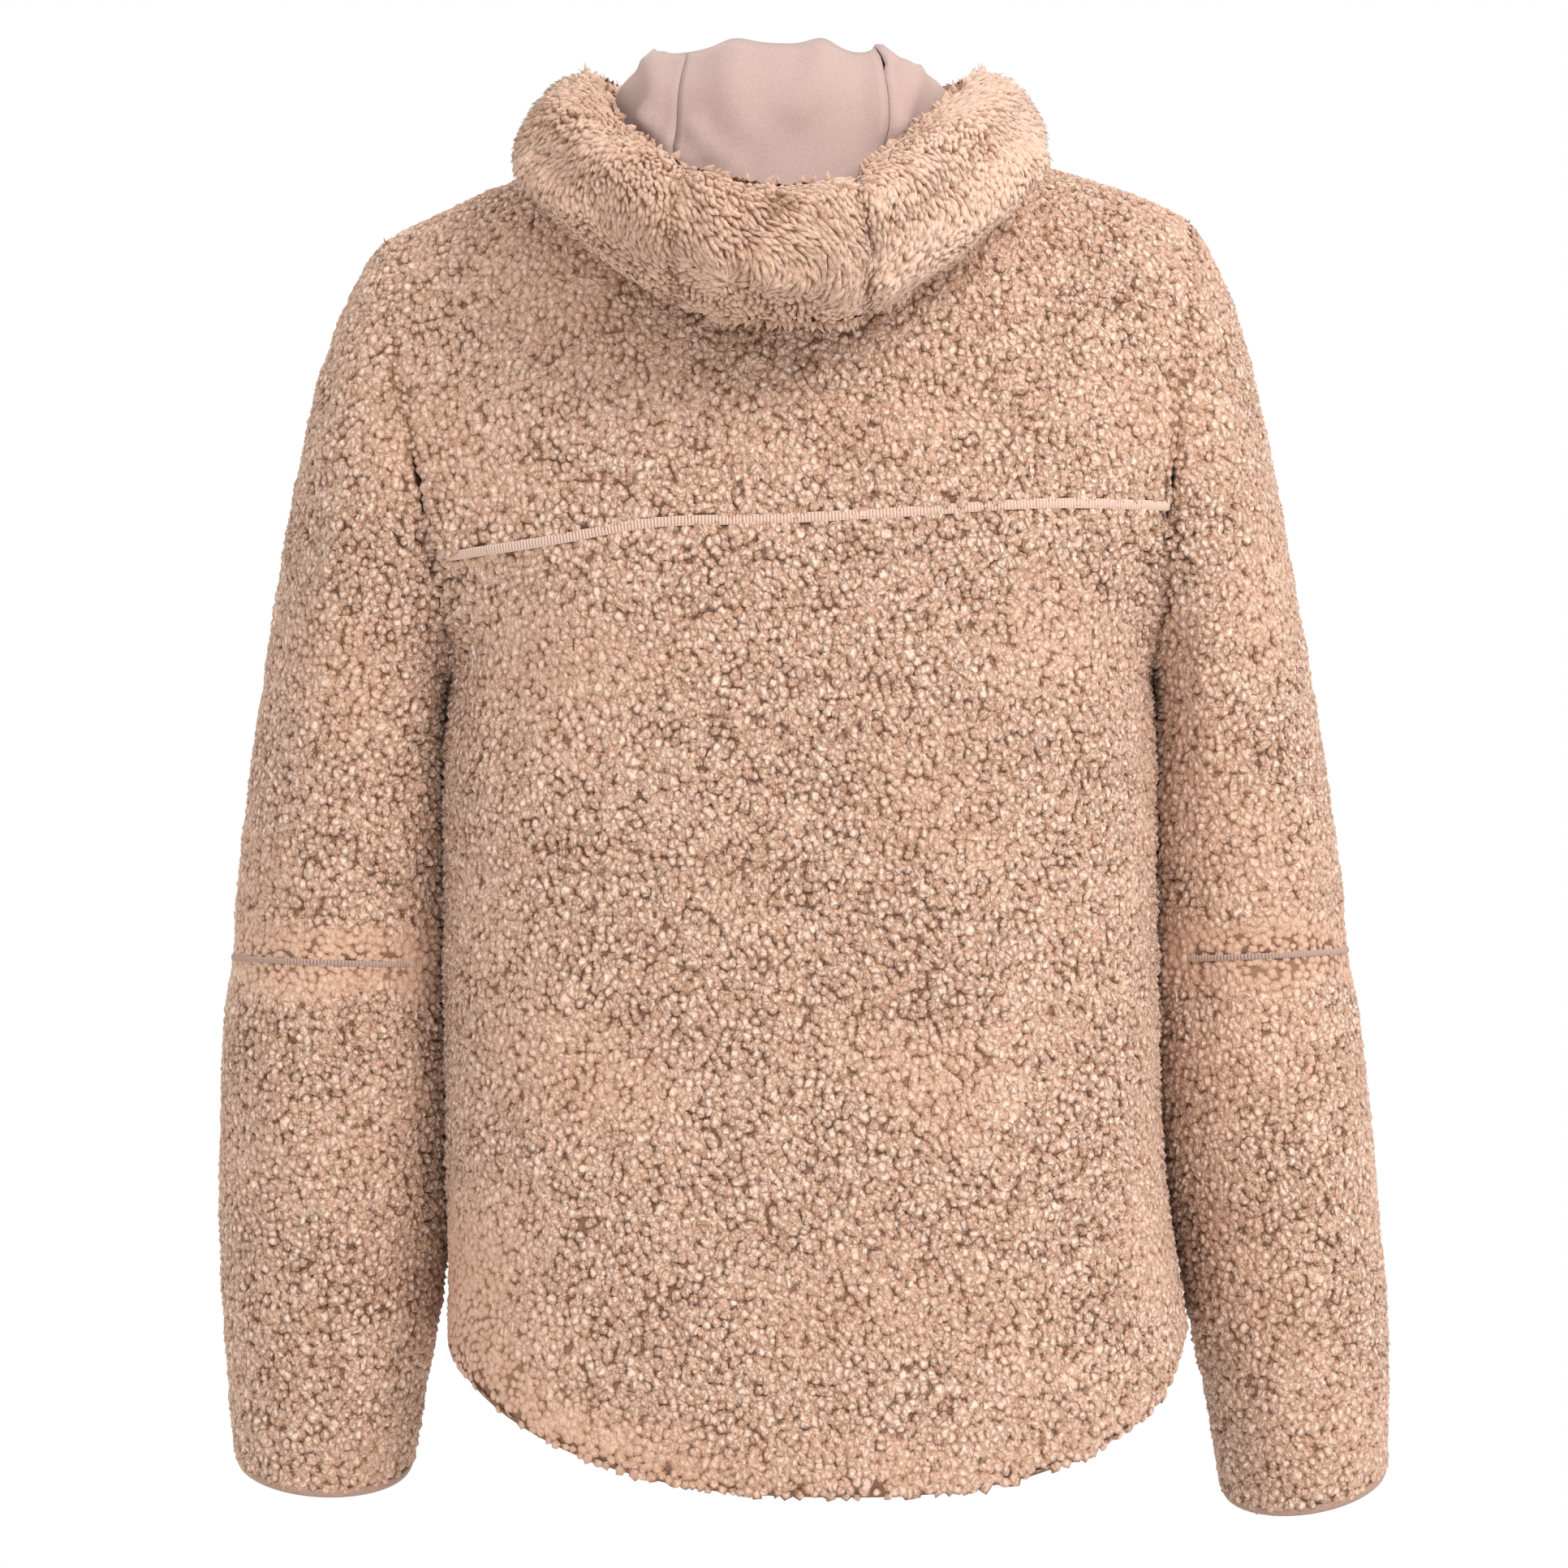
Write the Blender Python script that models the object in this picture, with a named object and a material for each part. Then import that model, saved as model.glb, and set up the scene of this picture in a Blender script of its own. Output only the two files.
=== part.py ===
"""A sherpa pullover hoodie, worn and hollow, with its hood down behind the neck.

Metres, +Z up. The back of the garment faces -Y and its right side, seen from behind, is +X. The origin is
where the garment hangs on the wearer's shoulders, in the middle of the neck opening.

The outer face of each panel is a grid of points, worked out from the tables below. The panels share their
seams. Each panel becomes a wall: its outer grid, an inner grid one cloth thickness behind it, and the rims.
"""

import math

import bpy
import numpy as np

MM = 0.001
SHERPA = 6.5  # thickness of the fleece with its pile, mm
HEM_SHERPA = 8.5  # the turned hem of the body
RIM_SHERPA = 10.0  # the turned edge of the hood
LINING = 1.3  # jersey lining of the hood
# Rows of the jersey binding round a cuff: how far below the sleeve, and how far in its two faces lie.
BINDING_ROWS = ((0.34, 1.2, 4.6), (2.4, 0.7, 5.0), (4.6, 1.6, 4.4))
SEAM_GAP = 0.4  # between two pieces at a seam
LINING_GAP = 0.55  # between the hood and its lining
NECK_GAP = 0.7  # how far the hood stays off the neckline
NECK_MITRE = 1.4
LONGEST_MITRE = 1.3  # a wall grows by this much at most along a sharp crease
HOOD_MITRE = 1.2

SHOULDER_STEPS = 6  # grid columns along one shoulder
YOKE_STEPS = 8  # grid rows from the shoulder to the yoke seam
ARMHOLE_STEPS = 12  # grid rows from the shoulder to the underarm
ROUND_STEPS = 2 * ARMHOLE_STEPS  # points round a sleeve
PALE_FLEECE = (0.66, 0.43, 0.31)
FLEECE = (0.61, 0.39, 0.28)
JERSEY = (0.62, 0.43, 0.36)


def table(names, *rows):
    """The named columns of a short table, in mm and degrees."""
    return dict(zip(names.split(), np.array(rows, float).T))


def smooth(keys, values, at):
    """A smooth curve through the values, read at one or more keys and level beyond the ends."""
    slope = np.gradient(values, keys)
    i = np.clip(np.searchsorted(keys, at, side="right") - 1, 0, len(keys) - 2)
    span = keys[i + 1] - keys[i]
    f = np.clip((at - keys[i]) / span, 0, 1)
    rise = values[i + 1] - values[i]
    bend = (1 - f) * (slope[i] * span - rise) + f * (rise - slope[i + 1] * span)
    return values[i] + f * rise + f * (1 - f) * bend


# The body by height: how far it reaches to the left, right, back and front.
BODY = table(
    "z left right back front",
    (-700, 193, 196, 130, 127),
    (-600, 190, 202, 123, 124),
    (-520, 188, 189, 117, 120),
    (-430, 188.5, 184, 114, 119),
    (-330, 188.5, 183, 119, 121),
    (-270, 188, 183.5, 122, 121),
    (-245, 184, 181, 123, 120),
    (-165, 178, 176, 122, 114),
)
SIDE_SEAM_Y = -14  # the body is widest a little behind the shoulders
# The curved hem, from the left side seam to the right one: deepest at the middle of the back.
HEM = table(
    "x back front",
    (-191, -606, -606),
    (-167, -628, -624),
    (-124, -651, -640),
    (-84, -663, -648),
    (-40, -670, -652),
    (5, -672, -653),
    (45, -672, -652),
    (86, -669, -648),
    (128, -660, -641),
    (152, -651, -634),
    (172, -641, -628),
    (186, -629, -619),
    (194, -615, -609),
    (202, -600, -600),
)
# Share of the way from the underarm to the hem of each row of the body. The last step is the turned hem.
BODY_ROWS = (0, 0.08, 0.19, 0.32, 0.45, 0.58, 0.71, 0.83, 0.93, 1)
# The shoulder line, from behind.
SHOULDER = table(
    "x z", (-226, -20), (-190, -3), (-151, 14), (-120, 24), (-95, 30),
    (73, 30), (100, 26), (132, 18.5), (165, 8), (197, -4), (207, -10),
)  # fmt: skip
YOKE_SEAM = table(
    "x z", (-190, -191), (-123, -182), (-85, -175), (-18, -173), (46, -169.5), (128, -164), (184, -164)
)
NECK_MIDDLE = -11
NECK_HALF = 84
# The neckline over the back and the front. The grid's columns meet it at these stations, in degrees from
# the left shoulder to the right one. Behind, the fourth and the eighth are the seams of the hood's strip.
BACK_NECK = {
    "depth": -72, "drop": 22, "power": 1.2,
    "stations": (0, 18, 36, 54.3, 72, 89, 106.5, 124, 142, 161, 180),
}  # fmt: skip
FRONT_NECK = {"depth": 74, "drop": 92, "power": 2.2, "stations": tuple(np.linspace(0, 180, 9))}
STRIP_STATIONS = (3, 7)
# The sleeves by their outer and inner lines. 0 is the armhole, 1 the elbow seam and 2 the cuff.
LEFT_SLEEVE = table(
    "at out_x out_z in_x in_z mid_y depth",
    (0.00, -226, -20, -184, -249, 0, 66),
    (0.12, -241, -45, -188, -253, 2, 68),
    (0.27, -258, -88, -190.5, -260, 6, 71),
    (0.42, -270, -140, -190.5, -271, 12, 73),
    (0.57, -282, -205, -188.5, -289, 19, 74),
    (0.72, -293, -272, -186.5, -315, 24, 73),
    (0.87, -302, -345, -186, -362, 25, 70),
    (1.00, -308, -400, -186, -404, 25, 67),
    (1.25, -313, -463, -186, -467, 25, 64),
    (1.50, -314, -528, -188, -531, 26, 61),
    (1.75, -312, -600, -197, -603, 29, 57),
    (2.00, -306, -663, -208, -669, 32, 50),
)
RIGHT_SLEEVE = table(
    "at out_x out_z in_x in_z mid_y depth",
    (0.00, 207, -10, 181, -246, 0, 66),
    (0.12, 222, -38, 185, -250, 2, 68),
    (0.27, 236, -80, 187, -257, 6, 71),
    (0.42, 248, -132, 186.5, -268, 12, 73),
    (0.57, 260, -195, 184, -286, 19, 74),
    (0.72, 272, -258, 181.5, -312, 24, 73),
    (0.87, 283, -327, 180.5, -358, 25, 70),
    (1.00, 292, -396, 181, -401, 25, 67),
    (1.25, 301, -463, 185, -467, 25, 64),
    (1.50, 307, -528, 194, -532, 26, 61),
    (1.75, 313, -601, 209, -606, 29, 57),
    (2.00, 313, -668, 221, -682, 32, 49),
)
UPPER_ROWS = 9
LOWER_ROWS = 6
CUFF_DROP = 14  # how much deeper the cuff hangs at the back

# The hood by its place round the neck, from the front over the left side (-90) to the middle of the back
# (0) and on over the right side. Each section starts at the neckline, stands up, folds over, runs down
# to the bottom of the hanging hood, comes up outside and ends at the rim. r is the way out from the
# neckline towards `to`, and the rim lies towards `rim_to`.
HOOD = table(
    "at to fold_r fold_z in_r in_z low_r low_z out_r out_z up_r up_z rim_to rim_r rim_z groove",
    (-180, -180, 3, -46, 6, -38, 9, -30, 12, -22, 14, -14, -180, 15, -6, 0),
    (-150, -142, 3, -25, 9, -15, 16, -6, 24, 6, 28, 20, -142, 26, 38, 0),
    (-120, -108, 2, 28, 14, 25, 26, 24, 40, 34, 38, 56, -108, 24, 72, 0),
    (-90, -72, -14, 54, 2, 42, 28, 32, 52, 40, 42, 63, -16, 41, 60, 1),
    (-65, -42, -1, 62, 12, 32, 64, -14, 94, 6, 83, 38, -3, 70, 30, 3),
    (-36, -4, 13, 62, 31, 12, 80, -68, 120, -36, 116, -4, 2, 98, 5, 4),
    (-12, -2, 14, 65, 31, 8, 76, -76, 115, -42, 112, -14, -2, 94, -2, 4),
    (10, -2, 14, 64, 30, 8, 74, -76, 113, -42, 110, -14, -7, 90, -4, 4),
    (34, -3, 13, 60, 30, 10, 76, -73, 114, -38, 112, -8, -9, 90, 1, 5),
    (60, 36, -2, 61, 11, 30, 60, -20, 94, 2, 82, 38, -8, 62, 30, 5),
    (75, 54, -9, 58, 6, 38, 42, 21, 71, 29, 63, 54, 0, 51, 46, 4),
    (90, 72, -15, 53, 1, 43, 26, 38, 51, 44, 43, 64, 12, 42, 60, 2),
    (120, 108, 1, 30, 13, 26, 26, 25, 40, 34, 36, 56, 108, 22, 72, 0),
    (150, 142, 3, -25, 9, -15, 16, -6, 24, 6, 28, 20, 142, 26, 38, 0),
    (180, 180, 3, -46, 6, -38, 9, -30, 12, -22, 14, -14, 180, 15, -6, 0),
)
HOOD_STEPS = (1, 2, 1, 2, 3, 3, 1, 1, 2)  # grid rows between the points of a hood section
EVEN_FROM = 60  # from here to the front the rows get evenly spaced, over EVEN_OVER degrees
EVEN_OVER = 60
LINING_ROWS = 2  # the lining stops this many rows below the rim
SEAM_SIDES = {
    "yoke_back": "top bottom left right",
    "back_panel": "top left right",
    "front_panel": "top left right",
}


def degrees(values):
    return np.radians(np.asarray(values, float))


def squash(values, power):
    """Sines or cosines of a rounder (over 2) or sharper (under 2) oval."""
    return np.sign(values) * np.abs(values) ** (2 / power)


def armhole_angles(sleeve, seam_z):
    """Angles down an armhole from its top, with one row on the yoke seam."""
    top, low = sleeve["out_z"][0], sleeve["in_z"][0]
    seam = math.degrees(math.acos(1 - 2 * (top - seam_z) / (top - low)))
    upper = np.linspace(0, seam, YOKE_STEPS + 1)
    lower = np.linspace(seam, 180, ARMHOLE_STEPS - YOKE_STEPS + 1)
    return np.concatenate([upper, lower[1:]])


def sleeve_rings(sleeve, seam_z, places):
    """One ring of points for each place: down the back from the outer line, then up the front."""
    down = armhole_angles(sleeve, seam_z)
    armhole = np.concatenate([down, 360 - down[-2:0:-1]])
    even = np.linspace(0, 360, ROUND_STEPS, endpoint=False)
    rings = []
    for place in places:
        row = {name: smooth(sleeve["at"], sleeve[name], place) for name in sleeve}
        even_share = min(place / 0.5, 1)
        angles = degrees(armhole + (even - armhole) * even_share)
        outer = np.array([row["out_x"], row["mid_y"], row["out_z"]])
        inner = np.array([row["in_x"], row["mid_y"], row["in_z"]])
        ring = (outer + inner) / 2 + np.outer(np.cos(angles), (outer - inner) / 2)
        ring[:, 1] -= row["depth"] * np.sin(angles)
        droop = np.clip((place - 1.7) / 0.3, 0, 1) * CUFF_DROP
        ring[:, 2] -= droop * np.clip(np.sin(angles), 0, 1)
        rings.append(ring)
    return np.array(rings)


def neck_curve(shape, angles):
    """The neckline over the back or the front, at angles from the left shoulder to the right one."""
    angles = degrees(angles)
    reach = np.sin(angles)
    x = NECK_MIDDLE - NECK_HALF * np.cos(angles)
    z = SHOULDER["z"][4] - shape["drop"] * reach ** shape["power"]
    return np.stack([x, shape["depth"] * reach, z], 1)


def top_edge(shape):
    """Left shoulder seam, neckline and right shoulder seam as one row of points."""
    neck = neck_curve(shape, shape["stations"])
    tips = SHOULDER["x"][0], SHOULDER["x"][-1]
    left = np.linspace(tips[0], neck[0, 0], SHOULDER_STEPS + 1)[:-1]
    right = np.linspace(neck[-1, 0], tips[1], SHOULDER_STEPS + 1)[1:]
    sides = [
        np.stack([x, 0 * x, smooth(SHOULDER["x"], SHOULDER["z"], x)], 1) for x in (left, right)
    ]
    return np.concatenate([sides[0], neck, sides[1]])


def arch(left, right, depth, columns, power=2.3):
    """A row across the body between two end points, `depth` deep in the middle on their side."""
    end = np.clip(abs((left[1] + right[1]) / 2) / abs(depth), 0, 0.98)
    start = math.asin(end ** (power / 2))
    angle = np.linspace(math.pi - start, start, columns + 1)
    across = squash(np.cos(angle), power) / squash(np.array(math.cos(start)), power)
    middle, half = (right[0] + left[0]) / 2, (right[0] - left[0]) / 2
    reach = (squash(np.sin(angle), power) - end) / (1 - end)
    side = (1 - across) / 2
    ends_y = left[1] * side + right[1] * (1 - side)
    ends_z = left[2] * side + right[2] * (1 - side)
    row = np.stack([middle + half * across, ends_y, ends_z], 1)
    row[:, 1] += (depth - ends_y) * reach
    return row, reach


def body_half(side, left_ring, right_ring, shape):
    """The back or the front of the body: rows from the shoulders to the hem, columns left to right."""
    sign = -1 if side == "back" else 1
    columns = 2 * SHOULDER_STEPS + len(shape["stations"]) - 1
    take = [(-j) % ROUND_STEPS if sign > 0 else j for j in range(ARMHOLE_STEPS + 1)]
    left, right = left_ring[take], right_ring[take]

    def depth(z):
        return sign * smooth(BODY["z"], BODY[side], z)

    top = top_edge(shape)
    seam_row, _ = arch(left[YOKE_STEPS], right[YOKE_STEPS], depth(-165), columns)
    seam_row[:, 2] = smooth(YOKE_SEAM["x"], YOKE_SEAM["z"], seam_row[:, 0])
    seam_row[[0, -1]] = left[YOKE_STEPS], right[YOKE_STEPS]
    rows = []
    near = np.clip(1 - np.arange(columns + 1) / 5, 0, 1)[:, None] ** 2
    # Round over the shoulders, and flatter below the neck.
    shoulder = np.linspace(0.8, 0.95, SHOULDER_STEPS + 1)[:-1]
    neck = 0.95 + 0.45 * np.sin(degrees(shape["stations"]))
    power = np.concatenate([shoulder, neck, shoulder[::-1]])
    for j in range(YOKE_STEPS + 1):
        turn = math.pi / 2 * j / YOKE_STEPS
        out = math.sin(turn) ** power
        up = max(math.cos(turn), 0) ** power[:, None] if j < YOKE_STEPS else 0
        row = seam_row + (top - seam_row) * up
        row[:, 1] = top[:, 1] + (seam_row[:, 1] - top[:, 1]) * out
        row += near * (left[j] - row[0]) + near[::-1] * (right[j] - row[-1])
        rows.append(row)
    under_z = (left[-1][2] + right[-1][2]) / 2
    middle_z = np.linspace(rows[-1][columns // 2][2], under_z, ARMHOLE_STEPS - YOKE_STEPS + 1)
    for j, z in zip(range(YOKE_STEPS + 1, ARMHOLE_STEPS + 1), middle_z[1:]):
        row, reach = arch(left[j], right[j], depth(z), columns)
        row[:, 2] += (z - row[:, 2]) * reach
        rows.append(row)
    under = rows[-1]
    for share in BODY_ROWS[1:]:
        x = under[:, 0]
        hem_z = smooth(HEM["x"], HEM[side], x)
        hem_z[[0, -1]] = HEM[side][[0, -1]]
        for _ in range(3):
            z = under[:, 2] + (hem_z - under[:, 2]) * share
            lefts = -smooth(BODY["z"], BODY["left"], z)
            rights = smooth(BODY["z"], BODY["right"], z)
            angle = np.linspace(math.pi, 0, columns + 1)
            across = squash(np.cos(angle), 2.3)
            x = (lefts + rights) / 2 + (rights - lefts) / 2 * across
            hem_z = smooth(HEM["x"], HEM[side], x)
            hem_z[[0, -1]] = HEM[side][[0, -1]]
        widest = SIDE_SEAM_Y * min(share / BODY_ROWS[2], 1)
        y = widest + (depth(z) - widest) * squash(np.sin(angle), 2.3)
        rows.append(np.stack([x, y, z], 1))
    return np.array(rows)


def merged(grids):
    """One index for each different point of the grids, so that panels share the points of a seam."""
    points = np.concatenate([grid.reshape(-1, 3) for grid in grids])
    _, index = np.unique(np.round(points, 4), axis=0, return_inverse=True)
    return index.reshape(-1)


def quads(rows, columns, closed):
    """Corners of each cell of a grid: point numbers in rows, in the order round the cell."""
    across = columns if closed else columns - 1
    cells = []
    for r in range(rows - 1):
        for c in range(across):
            d = (c + 1) % columns
            cells.append((r * columns + c, r * columns + d, (r + 1) * columns + d, (r + 1) * columns + c))
    return np.array(cells)


def normals(grids, closed, turns):
    """The direction out of the cloth at each point of each grid, alike on both sides of a seam, and how
    much longer a wall has to be there to keep its thickness."""
    index = merged(grids)
    total = np.zeros((index.max() + 1, 3))
    faces, start = [], 0
    for grid, ring, turn in zip(grids, closed, turns):
        rows, columns = grid.shape[:2]
        points = grid.reshape(-1, 3)
        cells = quads(rows, columns, ring)
        a, b, c, d = (points[cells[:, k]] for k in range(4))
        out = turn * np.cross(c - a, d - b)
        out /= np.linalg.norm(out, axis=1)[:, None]
        faces.append((index[start + cells], out))
        start += len(points)
    for corners, out in faces:
        for k in range(4):
            np.add.at(total, corners[:, k], out)
    total /= np.linalg.norm(total, axis=1)[:, None]
    cosine, count = np.zeros(len(total)), np.zeros(len(total))
    for corners, out in faces:
        for k in range(4):
            np.add.at(cosine, corners[:, k], (total[corners[:, k]] * out).sum(1))
            np.add.at(count, corners[:, k], 1)
    mitre = np.clip(count / np.maximum(cosine, 1e-6), 1, LONGEST_MITRE)
    found, start = [], 0
    for grid in grids:
        size = grid.shape[0] * grid.shape[1]
        part = index[start : start + size]
        found.append((total[part].reshape(grid.shape), mitre[part].reshape(grid.shape[:2] + (1,))))
        start += size
    return found


def along(line, closed=False):
    """Unit direction along a row or column of points."""
    if closed:
        step = np.roll(line, -1, 0) - np.roll(line, 1, 0)
    else:
        step = np.gradient(line, axis=0)
    return step / np.linalg.norm(step, axis=1)[:, None]


def set_back(outer, inner, closed, turn, sides, top_gap=SEAM_GAP / 2):
    """How to move the rims of a wall back from its seams, square to each rim, so that panels stay apart."""
    move = np.zeros_like(outer)
    rim = outer - inner
    if "top" in sides:
        move[0] += turn * np.cross(rim[0], along(outer[0], closed))
    if "bottom" in sides:
        move[-1] -= turn * np.cross(rim[-1], along(outer[-1], closed))
    if "left" in sides:
        move[:, 0] -= turn * np.cross(rim[:, 0], along(outer[:, 0]))
    if "right" in sides:
        move[:, -1] += turn * np.cross(rim[:, -1], along(outer[:, -1]))
    size = np.linalg.norm(move, axis=2)[:, :, None]
    corner = np.zeros(outer.shape[:2] + (1,))
    for rows in (0, -1):
        corner[rows, [0, -1]] = 0.0 if closed else 1.0
    reach = SEAM_GAP / 2 * (1 + (math.sqrt(2) - 1) * corner)
    reach[0] *= top_gap / (SEAM_GAP / 2)
    return np.where(size > 1e-9, move / np.maximum(size, 1e-9) * reach, 0)


def material(name, colour, roughness):
    made = bpy.data.materials.new(name)
    made.use_nodes = True
    shader = made.node_tree.nodes["Principled BSDF"]
    shader.inputs["Base Color"].default_value = (*colour, 1)
    shader.inputs["Roughness"].default_value = roughness
    shader.inputs["Metallic"].default_value = 0
    made.diffuse_color = (*colour, 1)
    return made


def shorter_ways(grid, closed):
    """For each cell of a grid, whether its corners 0 and 2 are nearer to each other than 1 and 3."""
    points = grid.reshape(-1, 3)
    a, b, c, d = (points[corner] for corner in quads(*grid.shape[:2], closed).T)
    return np.linalg.norm(c - a, axis=1) < np.linalg.norm(d - b, axis=1)


def solid(name, outer, inner, closed, turn, ways, colour, roughness):
    """A closed wall between two grids, as one object. `ways` says how each cell splits in two."""
    rows, columns = outer.shape[:2]
    size = rows * columns
    points = np.concatenate([outer.reshape(-1, 3), inner.reshape(-1, 3)])
    faces = []
    for (a, b, c, d), way in zip(quads(rows, columns, closed).tolist(), ways):
        halves_of_cell = ((a, b, c), (a, c, d)) if way else ((a, b, d), (b, c, d))
        for face in halves_of_cell:
            faces += [face, tuple(i + size for i in face[::-1])]
    top = list(range(columns))
    bottom = [(rows - 1) * columns + c for c in top]
    if closed:
        edges = [top + top[:1], bottom[:1] + bottom[::-1]]
    else:
        left = [r * columns for r in range(rows)]
        right = [r * columns + columns - 1 for r in range(rows)]
        edges = [top, bottom[::-1], left[::-1], right]
    # Both pieces at a seam split its rim alike, through the outer point that lies further this way.
    rank = points @ np.array([0.37, 0.51, 0.78])
    for edge in edges:
        for a, b in zip(edge, edge[1:]):
            if rank[a] > rank[b]:
                faces += [(b, a, b + size), (a, a + size, b + size)]
            else:
                faces += [(b, a, a + size), (b, a + size, b + size)]
    if turn < 0:
        faces = [face[::-1] for face in faces]
    mesh = bpy.data.meshes.new(name)
    mesh.from_pydata((points * MM).tolist(), [], faces)
    mesh.update()
    mesh.shade_smooth()
    mesh.set_sharp_from_angle(angle=math.radians(50))
    made = bpy.data.objects.new(name, mesh)
    bpy.context.scene.collection.objects.link(made)
    mesh.materials.append(material(name, colour, roughness))
    return made


def halves(line):
    """The same line with a point put in the middle of each step."""
    middle = (line[1:] + line[:-1]) / 2
    made = np.empty((2 * len(line) - 1, 3))
    made[::2], made[1::2] = line, middle
    return made


def section_curve(knots, steps, even):
    """A smooth line through the knots, with this many grid rows between each two of them. `even` is the
    share by which the rows keep equal distances instead."""
    lengths = np.maximum(np.linalg.norm(np.diff(knots, axis=0), axis=1), 1e-6)
    keys = np.concatenate([[0], np.cumsum(np.sqrt(lengths))])
    at = np.concatenate([np.linspace(keys[i], keys[i + 1], n + 1)[:-1] for i, n in enumerate(steps)])
    at = np.append(at, keys[-1])
    fine = np.linspace(0, keys[-1], 200)
    line = np.stack([smooth(keys, knots[:, k], fine) for k in range(3)], 1)
    far = np.concatenate([[0], np.cumsum(np.linalg.norm(np.diff(line, axis=0), axis=1))])
    equal = np.interp(np.linspace(0, far[-1], len(at)), far, fine)
    at += (equal - at) * even
    return np.stack([smooth(keys, knots[:, k], at) for k in range(3)], 1)


def hood_section(base, at):
    """The points of the hood in one section, from the neckline to the rim."""
    row = {name: smooth(HOOD["at"], HOOD[name], at) for name in HOOD}

    def place(bearing, r, z):
        turn = math.radians(bearing)
        return base + np.array([math.sin(turn) * r, -math.cos(turn) * r, z - base[2]])

    to, rim_to = row["to"], row["rim_to"]
    names = ("fold", "in", "low", "out", "up")
    fold, down, low, out, up = (place(to, row[n + "_r"], row[n + "_z"]) for n in names)
    up = place(to + (rim_to - to) * 0.35, row["up_r"], row["up_z"])
    rim = place(rim_to, row["rim_r"], row["rim_z"])
    rise = base + (fold - base) * (0.15, 0.15, 0.55)
    turned = fold + (down - fold) * (0.6, 0.6, 0.3)
    middle = (out + up) / 2
    inward = base + (0, 0, middle[2] - base[2]) - middle
    inward /= np.linalg.norm(inward)
    groove = middle + inward * (row["groove"] - 0.14 * np.linalg.norm(out - up))
    knots = np.array([base, rise, fold, turned, down, low, out, groove, up, rim])
    even = np.clip((abs(at) - EVEN_FROM) / EVEN_OVER, 0, 1)
    return section_curve(knots, HOOD_STEPS, even)


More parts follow.
